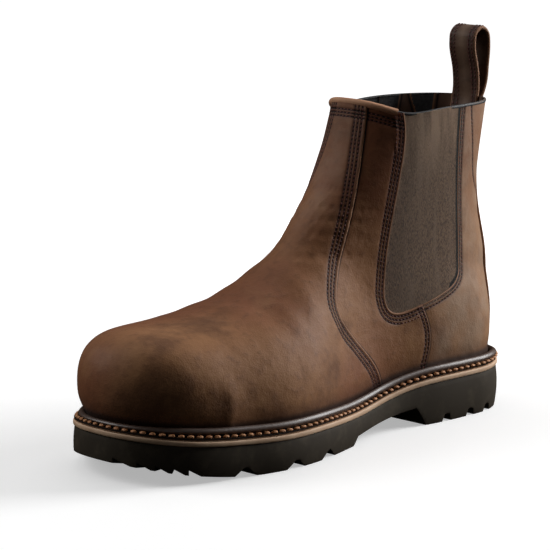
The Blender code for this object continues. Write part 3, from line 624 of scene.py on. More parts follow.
def distance_to(lines, points):
    """Distance from points to the nearest of some lines."""
    tree = KDTree(sum(len(line) for line in lines))
    ends = []
    total = 0
    for line in lines:
        for i, p in enumerate(line):
            tree.insert(p, total)
            ends.append((line[max(i - 1, 0)], p, line[min(i + 1, len(line) - 1)]))
            total += 1
    tree.balance()
    ends = np.array(ends)
    near = ends[[tree.find(p)[1] for p in points]]
    best = np.full(len(points), np.inf)
    for k in (0, 2):
        a = near[:, 1]
        run = near[:, k] - a
        t = ((points - a) * run).sum(1) / np.maximum((run * run).sum(1), 1e-18)
        foot = a + run * np.clip(t, 0, 1)[:, None]
        best = np.minimum(best, np.linalg.norm(points - foot, axis=1))
    return best


def inside_outline(outline, y, z):
    """Whether side-view points are inside a closed outline."""
    inside = np.zeros(len(y), bool)
    ahead = np.roll(outline, -1, 0)
    for (y0, z0), (y1, z1) in zip(outline, ahead):
        if z0 == z1:
            continue
        crosses = (z0 > z) != (z1 > z)
        inside ^= crosses & (y < y0 + (z - z0) / (z1 - z0) * (y1 - y0))
    return inside


def seam_field(rows, points):
    """Distance to a seam, positive in front of it."""
    path = side_path(rows, SEAM_STEPS)
    ahead = np.vstack([path, [[-LENGTH, path[-1, 1]], [-LENGTH, path[0, 1]]]])
    inside = inside_outline(ahead, points[:, 1], points[:, 2])
    return np.where(inside, 1, -1) * distance_to(on_last(path), points)


def outline_field(rows, points):
    """Distance to a closed seam, negative inside it."""
    path = side_path(rows, SEAM_STEPS)
    inside = inside_outline(path, points[:, 1], points[:, 2])
    return np.where(inside, -1, 1) * distance_to(on_last(path), points)


# A sheet is an array of rows: point, normal, then the fields in FIELDS
FIELDS = {"vamp": 6, "gore": 7, "heel": 8, "top": 9, "low": 10, "strip": 11, "corner": 12}


def field_of(data, name):
    return data[:, FIELDS[name]]


def in_front(data, along):
    return data[:, 1] < y_of(along)


def strip_field(points):
    """Positive inside the back strip's outline, negative outside it."""
    rise = rise_of(points[:, 2])
    width = column(BACK_STRIP, 1, rise) * SHAFT_WIDTH
    inside = np.minimum(width - np.abs(points[:, 0]), (rise - BACK_STRIP[0][0]) * SHAFT_RISE)
    inside = np.minimum(inside, (BACK_STRIP[-1][0] - rise) * SHAFT_RISE)
    return np.where(points[:, 1] > y_of(BACK_RAY_ALONG), inside, -BALL_WIDTH)


def make_sheet():
    points = LAST.reshape(-1, 3)
    normals = NORMALS.reshape(-1, 3)
    fields = [
        seam_field(VAMP_SEAM, points),
        outline_field(GORE, points),
        seam_field(HEEL_SEAM, points),
        collar_z(points[:, 1]) - points[:, 2],
        points[:, 2] - feather_z(points[:, 1]),
        strip_field(points),
        seam_field(CORNER_ROW, points),
    ]
    # Over the elastic the heel seam's field follows the side view, so that it parts the panels cleanly
    top_along, top_rise = HEEL_SEAM[0]
    over = points[:, 2] > z_of(top_rise)
    fields[2] = np.where(over, y_of(top_along) - points[:, 1], fields[2])
    data = np.hstack([points, normals, np.stack(fields, 1)])
    return data, [list(face) for face in grid_faces(RINGS, 2 * RING_SIDE)]


def face_runs(faces):
    """All corners of some faces in one row, where each face starts, and its number of corners."""
    sizes = np.array([len(face) for face in faces])
    corners = np.array([v for face in faces for v in face])
    return corners, np.r_[0, np.cumsum(sizes)[:-1]], sizes


def crossed_faces(value, faces):
    """Numbers of the faces that have corners on both sides of zero."""
    corners, starts, _ = face_runs(faces)
    low = np.minimum.reduceat(value[corners], starts)
    high = np.maximum.reduceat(value[corners], starts)
    return np.nonzero((low < 0) & (high > 0))[0].tolist()


def split(data, faces, field, level):
    """Adds a line of points where a field has a level, and keeps both sides."""
    value = field_of(data, field) - level
    value = np.where(np.abs(value) < SNAP, 0.0, value)
    rows = [data]
    made = {}
    out = list(faces)
    for number in crossed_faces(value, faces):
        face = faces[number]
        halves = ([], [])
        for i, a in enumerate(face):
            b = face[(i + 1) % len(face)]
            if value[a] >= 0:
                halves[0].append(a)
            if value[a] <= 0:
                halves[1].append(a)
            if value[a] * value[b] < 0:
                key = (min(a, b), max(a, b))
                if key not in made:
                    t = value[key[0]] / (value[key[0]] - value[key[1]])
                    made[key] = len(data) + len(made)
                    rows.append((data[key[0]] * (1 - t) + data[key[1]] * t)[None])
                halves[0].append(made[key])
                halves[1].append(made[key])
        kept = [half for half in halves if len(half) > 2]
        out[number] = kept[0]
        out += kept[1:]
    return np.vstack(rows), out


def split_many(data, faces, cuts):
    for field, level in cuts:
        data, faces = split(data, faces, field, level)
    return data, faces


def keep_where(data, faces, rule):
    """Faces whose middles obey a rule, with the points that they use."""
    corners, starts, sizes = face_runs(faces)
    middles = np.add.reduceat(data[corners], starts, axis=0) / sizes[:, None]
    kept = [face for face, good in zip(faces, rule(middles)) if good]
    used = np.unique(face_runs(kept)[0])
    place = np.full(len(data), -1)
    place[used] = np.arange(len(used))
    place = place.tolist()
    return data[used], [[place[v] for v in face] for face in kept]


def contour(data, faces, field, level, rule=None):
    """Lines on a sheet where a field has a level, as rows of the sheet's own columns."""
    value = field_of(data, field) - level + 1e-9
    links = {}
    for number in crossed_faces(value, faces):
        face = faces[number]
        crossed = []
        for i, a in enumerate(face):
            b = face[(i + 1) % len(face)]
            if (value[a] > 0) != (value[b] > 0):
                crossed.append((min(a, b), max(a, b)))
        if len(crossed) == 2:
            links.setdefault(crossed[0], []).append(crossed[1])
            links.setdefault(crossed[1], []).append(crossed[0])
    lines = []
    left = set(links)
    for start in sorted(links, key=lambda key: len(links[key])):
        if start not in left:
            continue
        chain = [start]
        left.discard(start)
        while True:
            nexts = [key for key in links[chain[-1]] if key in left]
            if not nexts:
                break
            chain.append(nexts[0])
            left.discard(nexts[0])
        if len(chain) > 3:
            first = [key[0] for key in chain]
            second = [key[1] for key in chain]
            t = (value[first] / (value[first] - value[second]))[:, None]
            lines.append(data[first] * (1 - t) + data[second] * t)
    if rule:
        lines = [piece for line in lines for piece in cut_line(line, rule)]
    return lines


def cut_line(line, rule):
    """The stretches of a line where a rule holds."""
    good = rule(line)
    pieces = []
    start = None
    for i, ok in enumerate(list(good) + [False]):
        if ok and start is None:
            start = i
        if not ok and start is not None:
            if i - start > 3:
                pieces.append(line[start:i])
            start = None
    return pieces


# Heights of the panels over the last


def row_dips(value, rows, good=None):
    dip = sum(np.exp(-(((value - row) / ROW_WIDTH) ** 2)) for row in rows) * ROW_DIP
    return dip if good is None else np.where(good, dip, 0)


def rounding(value):
    """How far a cut edge falls away at a distance from it."""
    near = np.clip(1 - value / EDGE_ROUND, 0, 1)
    return EDGE_ROUND * EDGE_FALL * (1 - np.sqrt(1 - near**2 * 0.98))


def front_row_rule(data):
    """Where the elastic's seam has its third row."""
    return in_front(data, FRONT_ROW_FROM) & (field_of(data, "heel") > 0)


def pressed(data, depth):
    """A step's depth, mostly pressed out at the feather line, as in the solids."""
    return depth * (PRESSED_KEPT + (1 - PRESSED_KEPT) * smooth_step(field_of(data, "low") / PRESSED_HEIGHT))


def common_relief(data):
    """Relief that all panels share: the elastic's seam, the collar's rows and the creases."""
    gore = field_of(data, "gore")
    height = -row_dips(gore, GORE_ROWS)
    height -= row_dips(gore, (GORE_FRONT_ROW,), front_row_rule(data))
    height -= rounding(gore)
    sewn = in_front(data, ROLL_FROM) & (gore > GORE_FRONT_ROW)
    height -= row_dips(field_of(data, "top"), COLLAR_ROWS, sewn)
    return height + creases(data[:, :3])


def vamp_height(data):
    value = field_of(data, "vamp")
    return common_relief(data) - row_dips(value, VAMP_ROWS) - rounding(value) + toe_cap_relief(data)


def quarter_height(data):
    value = field_of(data, "heel")
    height = common_relief(data) - pressed(data, QUARTER_STEP)
    low = data[:, 2] < z_of(HEEL_ROWS_TO)
    return height - np.where(low, row_dips(value, HEEL_ROWS) + rounding(value), 0)


def counter_height(data):
    corner = row_dips(field_of(data, "corner"), (0.0,), field_of(data, "gore") > GORE_ROWS[-1])
    return common_relief(data) - pressed(data, COUNTER_STEP) - corner


def strip_height(data):
    value = field_of(data, "strip")
    return STRIP_THICK + GAP - COUNTER_STEP - rounding(value) - row_dips(value, (STRIP_ROW,))


def toe_cap_relief(data):
    """The hidden toe cap fills the toe, and its rear rim shows as a soft roof low on both sides."""
    share = along_of(data[:, 1])
    low = field_of(data, "low")
    rim = RIM_ALONG - RIM_CURVE * (data[:, 0] / BALL_WIDTH) ** 2
    away = (share - rim) * LENGTH
    roof = np.sqrt(away**2 + RIM_SOFT**2) - RIM_SOFT
    ridge = RIM_RISE * np.exp(-roof / RIM_REACH)
    step = RIM_STEP * (smooth_step(away / (3 * RIM_SOFT) + 0.5) - 1)
    held = smooth_step(low / RIM_FOOT) * (1 - smooth_step((low - RIM_TOP) / RIM_FADE))
    full = TOE_FULL * smooth_step((share - TOE_FULL_FROM) / TOE_FULL_RUN) * smooth_step(low / TOE_FULL_RISE)
    return (ridge + step) * held + full


# Creases, listed one by one. Angles are seen from above on the shaft, and from the front on the foot:
# 0 is the middle line and 90 the outer side.
SHAFT_CREASES = (
    # rise, from angle, to angle, droop (share of SHAFT_RISE), depth mm, width mm
    (0.645, -52, 36, -0.03, 0.40, 1.9),
    (0.600, -40, 34, -0.02, 0.45, 2.0),
    (0.555, -50, 36, -0.04, 0.42, 2.2),
    (0.700, -30, 30, -0.02, 0.30, 1.8),
    (0.440, -75, -10, -0.03, 0.80, 5.0),
    (0.830, -70, -15, 0.02, 0.40, 4.0),
    (0.480, -36, 34, -0.02, 0.40, 2.6),
    (0.36, 140, 215, 0.02, 0.35, 5.0),
    (0.55, 150, 205, -0.02, 0.30, 4.0),
)
FOOT_CREASES = (
    # along, from angle, to angle, lean (share of LENGTH), depth mm, width mm
    (0.545, -60, 58, 0.020, 0.42, 6.5),
    (0.600, -48, 62, 0.030, 0.42, 6.0),
    (0.665, -58, 56, 0.018, 0.36, 6.0),
    (0.735, -62, 68, 0.012, 0.32, 6.0),
    (0.500, 30, 76, 0.020, 0.50, 5.0),
)
# Ridge beside a crease: height in shares of its depth, place and width in shares of its width
CREASE_RIDGE = 0.45
CREASE_RIDGE_AT = 1.7
CREASE_RIDGE_WIDTH = 0.8


def crease_lines():
    lines = []
    t = np.linspace(0, 1, 40)
    bow = 4 * t * (1 - t)
    for rise, first, last, droop, depth, width in SHAFT_CREASES:
        angle = np.radians(first + (last - first) * t)
        z = z_of(rise + droop * (1 - bow))
        front, back, _, _ = shaft_sections(z)
        start = np.stack([0 * z, (front + back) / 2, z], 1)
        way = np.stack([np.sin(angle), -np.cos(angle), 0 * z], 1)
        lines.append((leave_body(start, way, LENGTH / 2), bow * depth * MM, width * MM))
    for along, first, last, lean, depth, width in FOOT_CREASES:
        angle = np.radians(first + (last - first) * t)
        y = y_of(along - lean * (1 - bow))
        start = np.stack([crest_x(y, feather_z(y)), y, feather_z(y) + 0.15 * FOOT_RISE], 1)
        way = np.stack([np.sin(angle), 0 * y, np.cos(angle)], 1)
        lines.append((leave_body(start, way, LENGTH / 2), bow * depth * MM, width * MM))
    return lines


CREASES = crease_lines()


def creases(points):
    """Soft troughs with a low ridge beside each."""
    height = np.zeros(len(points))
    for line, depth, width in CREASES:
        centre = line.mean(0)
        reach = np.linalg.norm(line - centre, axis=1).max() + 3 * width
        near = np.nonzero(np.linalg.norm(points - centre, axis=1) < reach)[0]
        gaps = points[near][:, None, :] - line[None, ::2, :]
        size = np.linalg.norm(gaps, axis=2)
        best = size.argmin(1)
        away = size.min(1) / width
        ridge = np.exp(-(((away - CREASE_RIDGE_AT) / CREASE_RIDGE_WIDTH) ** 2))
        shape = np.exp(-(away**2)) - CREASE_RIDGE * ridge
        height[near] -= depth[::2][best] * shape
    return height


def border_edges(faces):
    """Border edges of some faces, each in the direction that its face has."""
    seen = {}
    for face in faces:
        for i, a in enumerate(face):
            b = face[(i + 1) % len(face)]
            key = (min(a, b), max(a, b))
            seen[key] = None if key in seen else (a, b)
    return [edge for edge in seen.values() if edge]


def panel(name, data, faces, height, marks_of, node="upper"):
    """A leather panel: its face at a height over the last, with a skirt down its cut edges."""
    points = data[:, :3] + data[:, 3:6] * height(data)[:, None]
    edges = border_edges(faces)
    rim = sorted({v for edge in edges for v in edge})
    place = {v: len(points) + i for i, v in enumerate(rim)}
    below = points[rim] - data[rim, 3:6] * SKIRT
    skirt = [(b, a, place[a], place[b]) for a, b in edges]
    marks = {key: np.r_[values, values[rim]] for key, values in marks_of(data).items()}
    link(name, np.vstack([points, below]), faces + skirt, LEATHER, "leather", [node], marks)


def row_mark(value, rows, sewn=True):
    """Distance to the nearest of some rows of stitches in mm, or FAR where they aren't sewn."""
    gap = np.min([np.abs(value - row) / MM for row in rows], axis=0)
    return np.where(sewn, np.minimum(gap, FAR), FAR)


def leather_marks(own_field, own_rows, over_field=None):
    """Marks of a panel, from its own seam, and a painted shadow just behind the edge of the panel that lies
    over it.
    """

    def marks(data):
        own = field_of(data, own_field)
        gore = field_of(data, "gore")
        rows = [
            row_mark(own, own_rows),
            row_mark(gore, GORE_ROWS),
            row_mark(gore, (GORE_FRONT_ROW,), front_row_rule(data)),
            row_mark(field_of(data, "top"), COLLAR_ROWS, in_front(data, ROLL_FROM)),
            row_mark(field_of(data, "corner"), (0.0,), field_of(data, "strip") <= -ROW_CLEAR),
        ]
        # painted shadow: distance behind the cut edge of the panel that lies over this one, darkened in the
        # leather's shader
        edge_shadow = np.full(len(data), FAR)
        if over_field:
            edge_shadow = np.clip(-field_of(data, over_field) / MM, 0, FAR)
        behind = smooth_step(-field_of(data, "heel") / PALE_REACH)
        high = smooth_step((rise_of(data[:, 2]) - PALE_FROM) / PALE_RUN) * (field_of(data, "vamp") >= 0)
        return {
            "edge": np.clip(np.minimum(np.abs(own), np.abs(gore)) / MM, 0, 30),
            "row": np.min(rows, axis=0),
            "low": np.clip(field_of(data, "low") / MM, 0, HIGH_UP),
            "edge_shadow": edge_shadow,
            "pale": np.maximum(behind, PALE_SHAFT * high),
        }

    return marks


# Stitches


def stitch_shape():
    """One stitch along X: a short fat capsule, as points and faces."""
    sides = 6
    stations = ((-1.0, 0.25), (-0.72, 0.8), (0.0, 1.0), (0.72, 0.8), (1.0, 0.25))
    points = []
    for at, size in stations:
        for k in range(sides):
            angle = 2 * math.pi * k / sides
            points.append((at * 0.5, math.cos(angle) * size * 0.5, math.sin(angle) * size * 0.5))
    faces = []
    for i in range(len(stations) - 1):
        for k in range(sides):
            right = (k + 1) % sides
            a = i * sides
            faces.append((a + k, a + sides + k, a + sides + right, a + right))
    faces.append(tuple(range(sides)))
    faces.append(tuple(range(len(points) - 1, len(points) - 1 - sides, -1)))
    return np.array(points), faces


def place_stitches(centres, aheads, normals, length, width, thick):
    shape, faces = stitch_shape()
    points = []
    out = []
    for centre, ahead, normal in zip(centres, aheads, normals):
        ahead = unit(ahead - normal * (ahead @ normal))
        side = np.cross(normal, ahead)
        first = len(points) * len(shape)
        local = shape[:, :1] * length * ahead + shape[:, 1:2] * width * side + shape[:, 2:] * thick * normal
        points.append(centre + local)
        out += [tuple(first + v for v in face) for face in faces]
    return np.vstack(points), out


def stitch_row(line, height):
    """Centres, directions and normals of the stitches along a line of a sheet."""
    points = line[:, :3] + line[:, 3:6] * height(line)[:, None]
    run = run_along(points)
    count = int(run[-1] / STITCH_PITCH)
    if count < 1:
        return (np.zeros((0, 3)),) * 3
    at = (np.arange(count) + 0.5) * run[-1] / count
    ahead = sampled(at + STITCH_PITCH / 3, run, points) - sampled(at - STITCH_PITCH / 3, run, points)
    return sampled(at, run, points), ahead, unit(sampled(at, run, line[:, 3:6]))


def make_stitches(name, rows):
    """All stitches of some rows, as one piece. Each row is a line and its panel's height."""
    parts = [stitch_row(line, height) for line, height in rows]
    centres, aheads, normals = (np.vstack([part[k] for part in parts]) for k in range(3))
    size = (STITCH_LONG, STITCH_THICK, STITCH_THICK * STITCH_FLAT)
    points, faces = place_stitches(centres + normals * STITCH_LIFT, aheads, normals, *size)
    link(name, points, faces, THREAD, "thread")


# Materials


class Nodes:
    """Short calls for the nodes of a material or a world."""

    def __init__(self, tree, place):
        self.tree = tree
        self.place = self.add("TexCoord").outputs[place]

    def add(self, kind, entries=None, **settings):
        """A node with some settings. entries holds a value or a link for each of some inputs."""
        node = self.tree.nodes.new("ShaderNode" + kind)
        for key, value in settings.items():
            setattr(node, key, value)
        for key, value in (entries or {}).items():
            self.put(node.inputs[key], value)
        return node

    def put(self, socket, value):
        if isinstance(value, bpy.types.NodeSocket):
            self.tree.links.new(value, socket)
        else:
            socket.default_value = value

    def stretched(self, scale):
        return self.add("Mapping", {"Vector": self.place, "Scale": scale}).outputs["Vector"]

    def noise(self, scale, detail=3.0, roughness=0.5, place=None):
        entries = {"Vector": place or self.place, "Scale": scale, "Detail": detail, "Roughness": roughness}
        return self.add("TexNoise", entries).outputs["Fac"]

    def cells(self, scale):
        return self.add("TexVoronoi", {"Vector": self.place, "Scale": scale}).outputs["Distance"]

    def wave(self, scale, distortion):
        entries = {"Vector": self.place, "Scale": scale, "Distortion": distortion}
        return self.add("TexWave", entries, bands_direction="Y").outputs["Fac"]

    def mark(self, name):
        return self.add("Attribute", attribute_name=name).outputs["Fac"]

    def span(self, value, low, high, first=0.0, last=1.0):
        entries = {"Value": value, "From Min": low, "From Max": high, "To Min": first, "To Max": last}
        return self.add("MapRange", entries, interpolation_type="SMOOTHSTEP").outputs["Result"]

    def math(self, operation, a, b):
        return self.add("Math", {0: a, 1: b}, operation=operation).outputs[0]

    def mix(self, share, a, b):
        return self.add("Mix", {0: share, 6: a, 7: b}, data_type="RGBA").outputs[2]

    def bump(self, height, distance, strength=1.0, under=None):
        entries = {"Height": height, "Distance": distance, "Strength": strength}
        if under:
            entries["Normal"] = under
        return self.add("Bump", entries).outputs["Normal"]


class Look(Nodes):
    """A material and its Principled shader."""

    def __init__(self, name):
        self.material = bpy.data.materials.new(name)
        self.material.use_nodes = True
        super().__init__(self.material.node_tree, "Object")
        self.shader = self.tree.nodes["Principled BSDF"]

    def base(self, name, value):
        self.put(self.shader.inputs[name], value)

    def tinted(self, colour, other, value, low, high, first, last):
        """A colour with a share of another one, first to last as a value goes from low to high."""
        return self.mix(self.span(value, low, high, first, last), colour, other)


def rgb(red, green, blue):
    """A colour from 0 to 255 as a linear one."""
    linear = [((c / 255 + 0.055) / 1.055) ** 2.4 if c > 10 else c / 255 / 12.92 for c in (red, green, blue)]
    return (*linear, 1.0)


def make_leather(name, base, light, dark, marks=True):
    """Oiled nubuck: soft patches of colour, lighter where it is worn or bent, darker at its seams, with
    painted shade near the welt and painted shadow under the edges of overlapping panels.
    """
    look = Look(name)
    patches = look.noise(19, 5, 0.62)
    drift = look.noise(9, 2, 0.5)
    mottle = look.noise(170, 4, 0.65)
    streaks = look.noise(1, 4, 0.6, look.stretched((60, 60, 240)))
    colour = look.mix(look.span(drift, 0.38, 0.62), base, light)
    colour = look.tinted(colour, dark, patches, 0.50, 0.70, 0.0, 0.65)
    colour = look.tinted(colour, light, patches, 0.50, 0.33, 0.0, 0.55)
    colour = look.tinted(colour, dark, mottle, 0.48, 0.75, 0.0, 0.35)
    colour = look.tinted(colour, light, streaks, 0.58, 0.78, 0.0, 0.30)
    if marks:
        row, low = look.mark("row"), look.mark("low")
        worn = look.span(look.noise(45, 4, 0.6), 0.35, 0.65, 0.25, 0.75)
        colour = look.mix(look.math("MULTIPLY", look.mark("pale"), worn), colour, rgb(158, 132, 110))
        colour = look.tinted(colour, rgb(66, 34, 30), row, 1.0, 2.0, 0.30, 0.0)
        colour = look.tinted(colour, rgb(26, 11, 10), row, 0.35, 0.80, 0.95, 0.0)
        edge = look.math("ADD", look.mark("edge"), look.math("MULTIPLY", mottle, 0.9))
        colour = look.tinted(colour, rgb(150, 108, 80), edge, 0.9, 1.5, 0.8, 0.0)
        # painted shade: the leather darkens towards the welt, and is near black just above the welt's ridge,
        # where it tucks in behind it
        foot = look.math("ADD", low, look.math("MULTIPLY", patches, 14))
        colour = look.tinted(colour, dark, foot, 11, 26, 0.6, 0.0)
        colour = look.tinted(colour, rgb(34, 17, 11), low, 6.5, 10.5, 0.85, 0.0)
        # painted shadow just behind the cut edge of an overlapping panel
        colour = look.tinted(colour, rgb(20, 10, 8), look.mark("edge_shadow"), 0.5, 1.6, 0.9, 0.0)
    look.base("Base Color", colour)
    look.base("Roughness", look.span(patches, 0.3, 0.7, 0.50, 0.66))
    look.base("Specular IOR Level", 0.18)
    look.base("Sheen Weight", 0.02)
    look.base("Sheen Roughness", 0.4)
    waves = look.bump(look.noise(85, 3), 0.0007)
    pores = look.bump(look.cells(1050), 0.00010, 0.6, waves)
    look.base("Normal", look.bump(look.noise(2300, 3, 0.6), 0.00009, 0.9, pores))
    return look.material


def make_plain(name, colour, other, roughness, scale, depth):
    """A softly mottled surface with a fine relief."""
    look = Look(name)
    look.base("Base Color", look.mix(look.span(look.noise(scale, 3), 0.35, 0.65), colour, other))
    look.base("Roughness", roughness)
    look.base("Normal", look.bump(look.noise(scale * 6, 3), depth))
    return look.material


def make_elastic(name):
    """Ribbed elastic with a woven speckle, and a painted highlight on its upper part."""
    look = Look(name)
    ribs = look.wave(1500, 1.2)
    speckle = look.noise(1, 2, 0.6, look.stretched((800, 1900, 620)))
    fade = look.noise(1, 3, 0.5, look.stretched((60, 130, 16)))
    colour = look.mix(look.span(speckle, 0.36, 0.66), rgb(98, 73, 55), rgb(172, 138, 108))
    colour = look.tinted(colour, rgb(74, 55, 43), ribs, 0.0, 0.6, 0.5, 0.0)
    colour = look.tinted(colour, rgb(164, 136, 112), fade, 0.45, 0.7, 0.0, 0.45)
    # painted highlight: paler towards the collar, in streaks
    upper = look.span(look.mark("top"), 4.0, 46.0, 0.85, 0.0)
    colour = look.mix(look.math("MULTIPLY", upper, look.span(fade, 0.35, 0.6)), colour, rgb(194, 160, 130))
    # painted shadow: near black along the elastic's back edge, where it runs in under the leather
    colour = look.tinted(colour, rgb(12, 9, 8), look.mark("rim"), 1.4, 2.5, 1.0, 0.0)
    look.base("Base Color", colour)
    look.base("Roughness", 0.85)
    look.base("Sheen Weight", 0.15)
    look.base("Normal", look.bump(speckle, 0.0005, 0.8, look.bump(ribs, 0.0004)))
    return look.material


def make_welt_look(name):
    """Tan on its cut edge, dark and dull round the stitches, dark and glossy on its ridge."""
    look = Look(name)
    dark = look.mix(look.noise(160, 3), rgb(30, 20, 15), rgb(44, 31, 24))
    bead = look.mix(look.noise(160, 3), rgb(70, 52, 43), rgb(88, 68, 57))
    dark = look.mix(look.mark("bead"), dark, bead)
    tan = look.mix(look.noise(130, 3), rgb(160, 122, 94), rgb(178, 140, 110))
    look.base("Base Color", look.mix(look.mark("tan"), dark, tan))
    look.base("Roughness", look.span(look.mark("bead"), 0.0, 1.0, 0.9, 0.42))
    look.base("Specular IOR Level", look.span(look.mark("bead"), 0.0, 1.0, 0.1, 0.7))
    look.base("Normal", look.bump(look.noise(700, 3), 0.00008))
    return look.material


def make_rubber(name):
    look = Look(name)
    dust = look.span(look.noise(90, 4, 0.6), 0.45, 0.75, 0.0, 0.5)
    look.base("Base Color", look.mix(dust, rgb(62, 55, 46), rgb(86, 77, 64)))
    look.base("Roughness", 0.65)
    look.base("Specular IOR Level", 0.12)
    look.base("Normal", look.bump(look.noise(1500, 2), 0.00006))
    return look.material


LEATHER = make_leather("leather", rgb(128, 80, 53), rgb(150, 106, 70), rgb(80, 48, 33))
STRAP = make_leather("strap_leather", rgb(74, 51, 39), rgb(98, 74, 58), rgb(46, 30, 24))
ROLL = make_leather("roll_leather", rgb(196, 148, 116), rgb(208, 166, 134), rgb(156, 112, 84), False)
LINING = make_plain("lining", rgb(50, 50, 52), rgb(66, 66, 68), 0.8, 500, 0.0003)
ELASTIC = make_elastic("elastic")
THREAD = make_plain("thread", rgb(80, 36, 30), rgb(110, 56, 46), 0.6, 900, 0.0001)
WELT_THREAD = make_plain("welt_thread", rgb(168, 108, 62), rgb(204, 146, 98), 0.6, 600, 0.0001)
WELT = make_welt_look("welt")
MIDSOLE = make_plain("midsole", rgb(204, 168, 136), rgb(216, 182, 150), 0.62, 130, 0.0001)
RUBBER = make_rubber("rubber")
BINDING = make_plain("binding", rgb(20, 20, 22), rgb(30, 30, 32), 0.55, 500, 0.0002)
FOOTBED = make_plain("footbed", rgb(24, 24, 26), rgb(36, 36, 38), 0.9, 400, 0.0004)


# Upper

NEAR_EDGE = (0.25 * MM, 0.6 * MM, 1.1 * MM)
PATCH = (115 * MM, 131 * MM, 16 * MM)  # its front, its back, how far it reaches down
PATCH_SLOPE = 0.25  # how much each of its sides leans in
FACING_WIDTH = 46 * MM
FACING_DEEP = 32 * MM
PATCH_TOP = 0.5 * MM  # below the collar line
PATCH_ROW = 2.0  # row of stitches, in mm from a patch's edge
PATCH_LIFT = 0.7 * MM
FACING_LIFT = 0.4 * MM
LINING_DROP = 0.4 * MM  # below the collar line
COLLAR_DROP = 0.6 * MM
ROLL_DEPTH = 1.7 * MM
ROLL_RADIUS = 2.15 * MM
BINDING_DEPTH = 2.7 * MM
BINDING_RADIUS = 1.1 * MM


def row_levels(field, rows):
    """Cuts beside and along some rows of stitches, so that their dips show."""
    return [(field, row + side * ROW_SIDE) for row in rows for side in (-1, 0, 1)]


def edge_levels(field):
    """Cuts close to a panel's edge, so that its rounding shows."""
    return [(field, level) for level in NEAR_EDGE]


BASE, BASE_FACES = make_sheet()
BASE, BASE_FACES = split_many(BASE, BASE_FACES, [("vamp", 0.0), ("gore", 0.0), ("heel", 0.0)])
GORE_CUTS = edge_levels("gore") + row_levels("gore", GORE_ROWS)
COLLAR_CUTS = row_levels("top", COLLAR_ROWS)


def field_rule(field, low, high):
    k = FIELDS[field]
    return lambda data: (data[:, k] > low) & (data[:, k] < high)


def all_rules(*rules):
    return lambda data: np.logical_and.reduce([rule(data) for rule in rules])


def sewn_lines(data, faces, height, field, levels, rule=None):
    """Lines to sew along where a field has some levels, each with its panel's height."""
    return [(line, height) for level in levels for line in contour(data, faces, field, level, rule)]


OFF_GORE = field_rule("gore", 0.0, LENGTH)


def make_vamp():
    data, faces = keep_where(BASE, BASE_FACES, field_rule("vamp", 0.0, LENGTH))
    cuts = edge_levels("vamp") + row_levels("vamp", VAMP_ROWS) + COLLAR_CUTS
    data, faces = split_many(data, faces, cuts)
    panel("vamp", data, faces, vamp_height, leather_marks("vamp", VAMP_ROWS))
    past_rows = field_rule("vamp", VAMP_ROWS[-1] + ROW_CLEAR, LENGTH)
    rows = sewn_lines(data, faces, vamp_height, "vamp", VAMP_ROWS)
    return rows + sewn_lines(data, faces, vamp_height, "top", COLLAR_ROWS, past_rows)


def make_quarters():
    reach = field_rule("vamp", -LENGTH, OVERLAP)
    data, faces = keep_where(BASE, BASE_FACES, all_rules(reach, field_rule("heel", 0.0, LENGTH), OFF_GORE))
    cuts = [("vamp", OVERLAP)] + GORE_CUTS + row_levels("gore", (GORE_FRONT_ROW,)) + COLLAR_CUTS
    data, faces = split_many(data, faces, cuts + edge_levels("heel") + row_levels("heel", HEEL_ROWS))
    data, faces = keep_where(data, faces, reach)
    panel("quarters", data, faces, quarter_height, leather_marks("heel", HEEL_ROWS, "vamp"))
    seen = field_rule("vamp", -LENGTH, -SEAM_CLEAR)
    below = all_rules(seen, lambda line: line[:, 2] < z_of(HEEL_ROWS_TO + 0.01))
    past_gore = all_rules(seen, field_rule("gore", GORE_FRONT_ROW + ROW_CLEAR, LENGTH))
    rows = sewn_lines(data, faces, quarter_height, "gore", GORE_ROWS + (GORE_FRONT_ROW,), seen)
    rows += sewn_lines(data, faces, quarter_height, "heel", HEEL_ROWS, below)
    return rows + sewn_lines(data, faces, quarter_height, "top", COLLAR_ROWS, past_gore)


def make_counter():
    reach = field_rule("heel", -LENGTH, OVERLAP)
    data, faces = keep_where(BASE, BASE_FACES, all_rules(reach, OFF_GORE))
    cuts = [("heel", OVERLAP)] + GORE_CUTS + row_levels("corner", (0.0,))
    data, faces = split_many(data, faces, cuts)
    data, faces = keep_where(data, faces, reach)
    panel("counter", data, faces, counter_height, leather_marks("gore", GORE_ROWS, "heel"))
    seen = field_rule("heel", -LENGTH, -SEAM_CLEAR)
    off_strip = field_rule("strip", -LENGTH, -ROW_CLEAR)
    past_gore = all_rules(seen, off_strip, field_rule("gore", GORE_ROWS[-1] + ROW_CLEAR, LENGTH))
    rows = sewn_lines(data, faces, counter_height, "gore", GORE_ROWS, seen)
    return rows + sewn_lines(data, faces, counter_height, "corner", (0.0,), past_gore)


def make_back_strip():
    data, faces = keep_where(BASE, BASE_FACES, field_rule("strip", -8 * MM, LENGTH))
    cuts = [("strip", 0.0)] + edge_levels("strip") + row_levels("strip", (STRIP_ROW,))
    data, faces = split_many(data, faces, cuts)
    data, faces = keep_where(data, faces, field_rule("strip", 0.0, LENGTH))
    marks = leather_marks("strip", (STRIP_ROW,))
    panel("back_strip_leather", data, faces, strip_height, marks, "back_strip")
    return sewn_lines(data, faces, strip_height, "strip", (STRIP_ROW,))


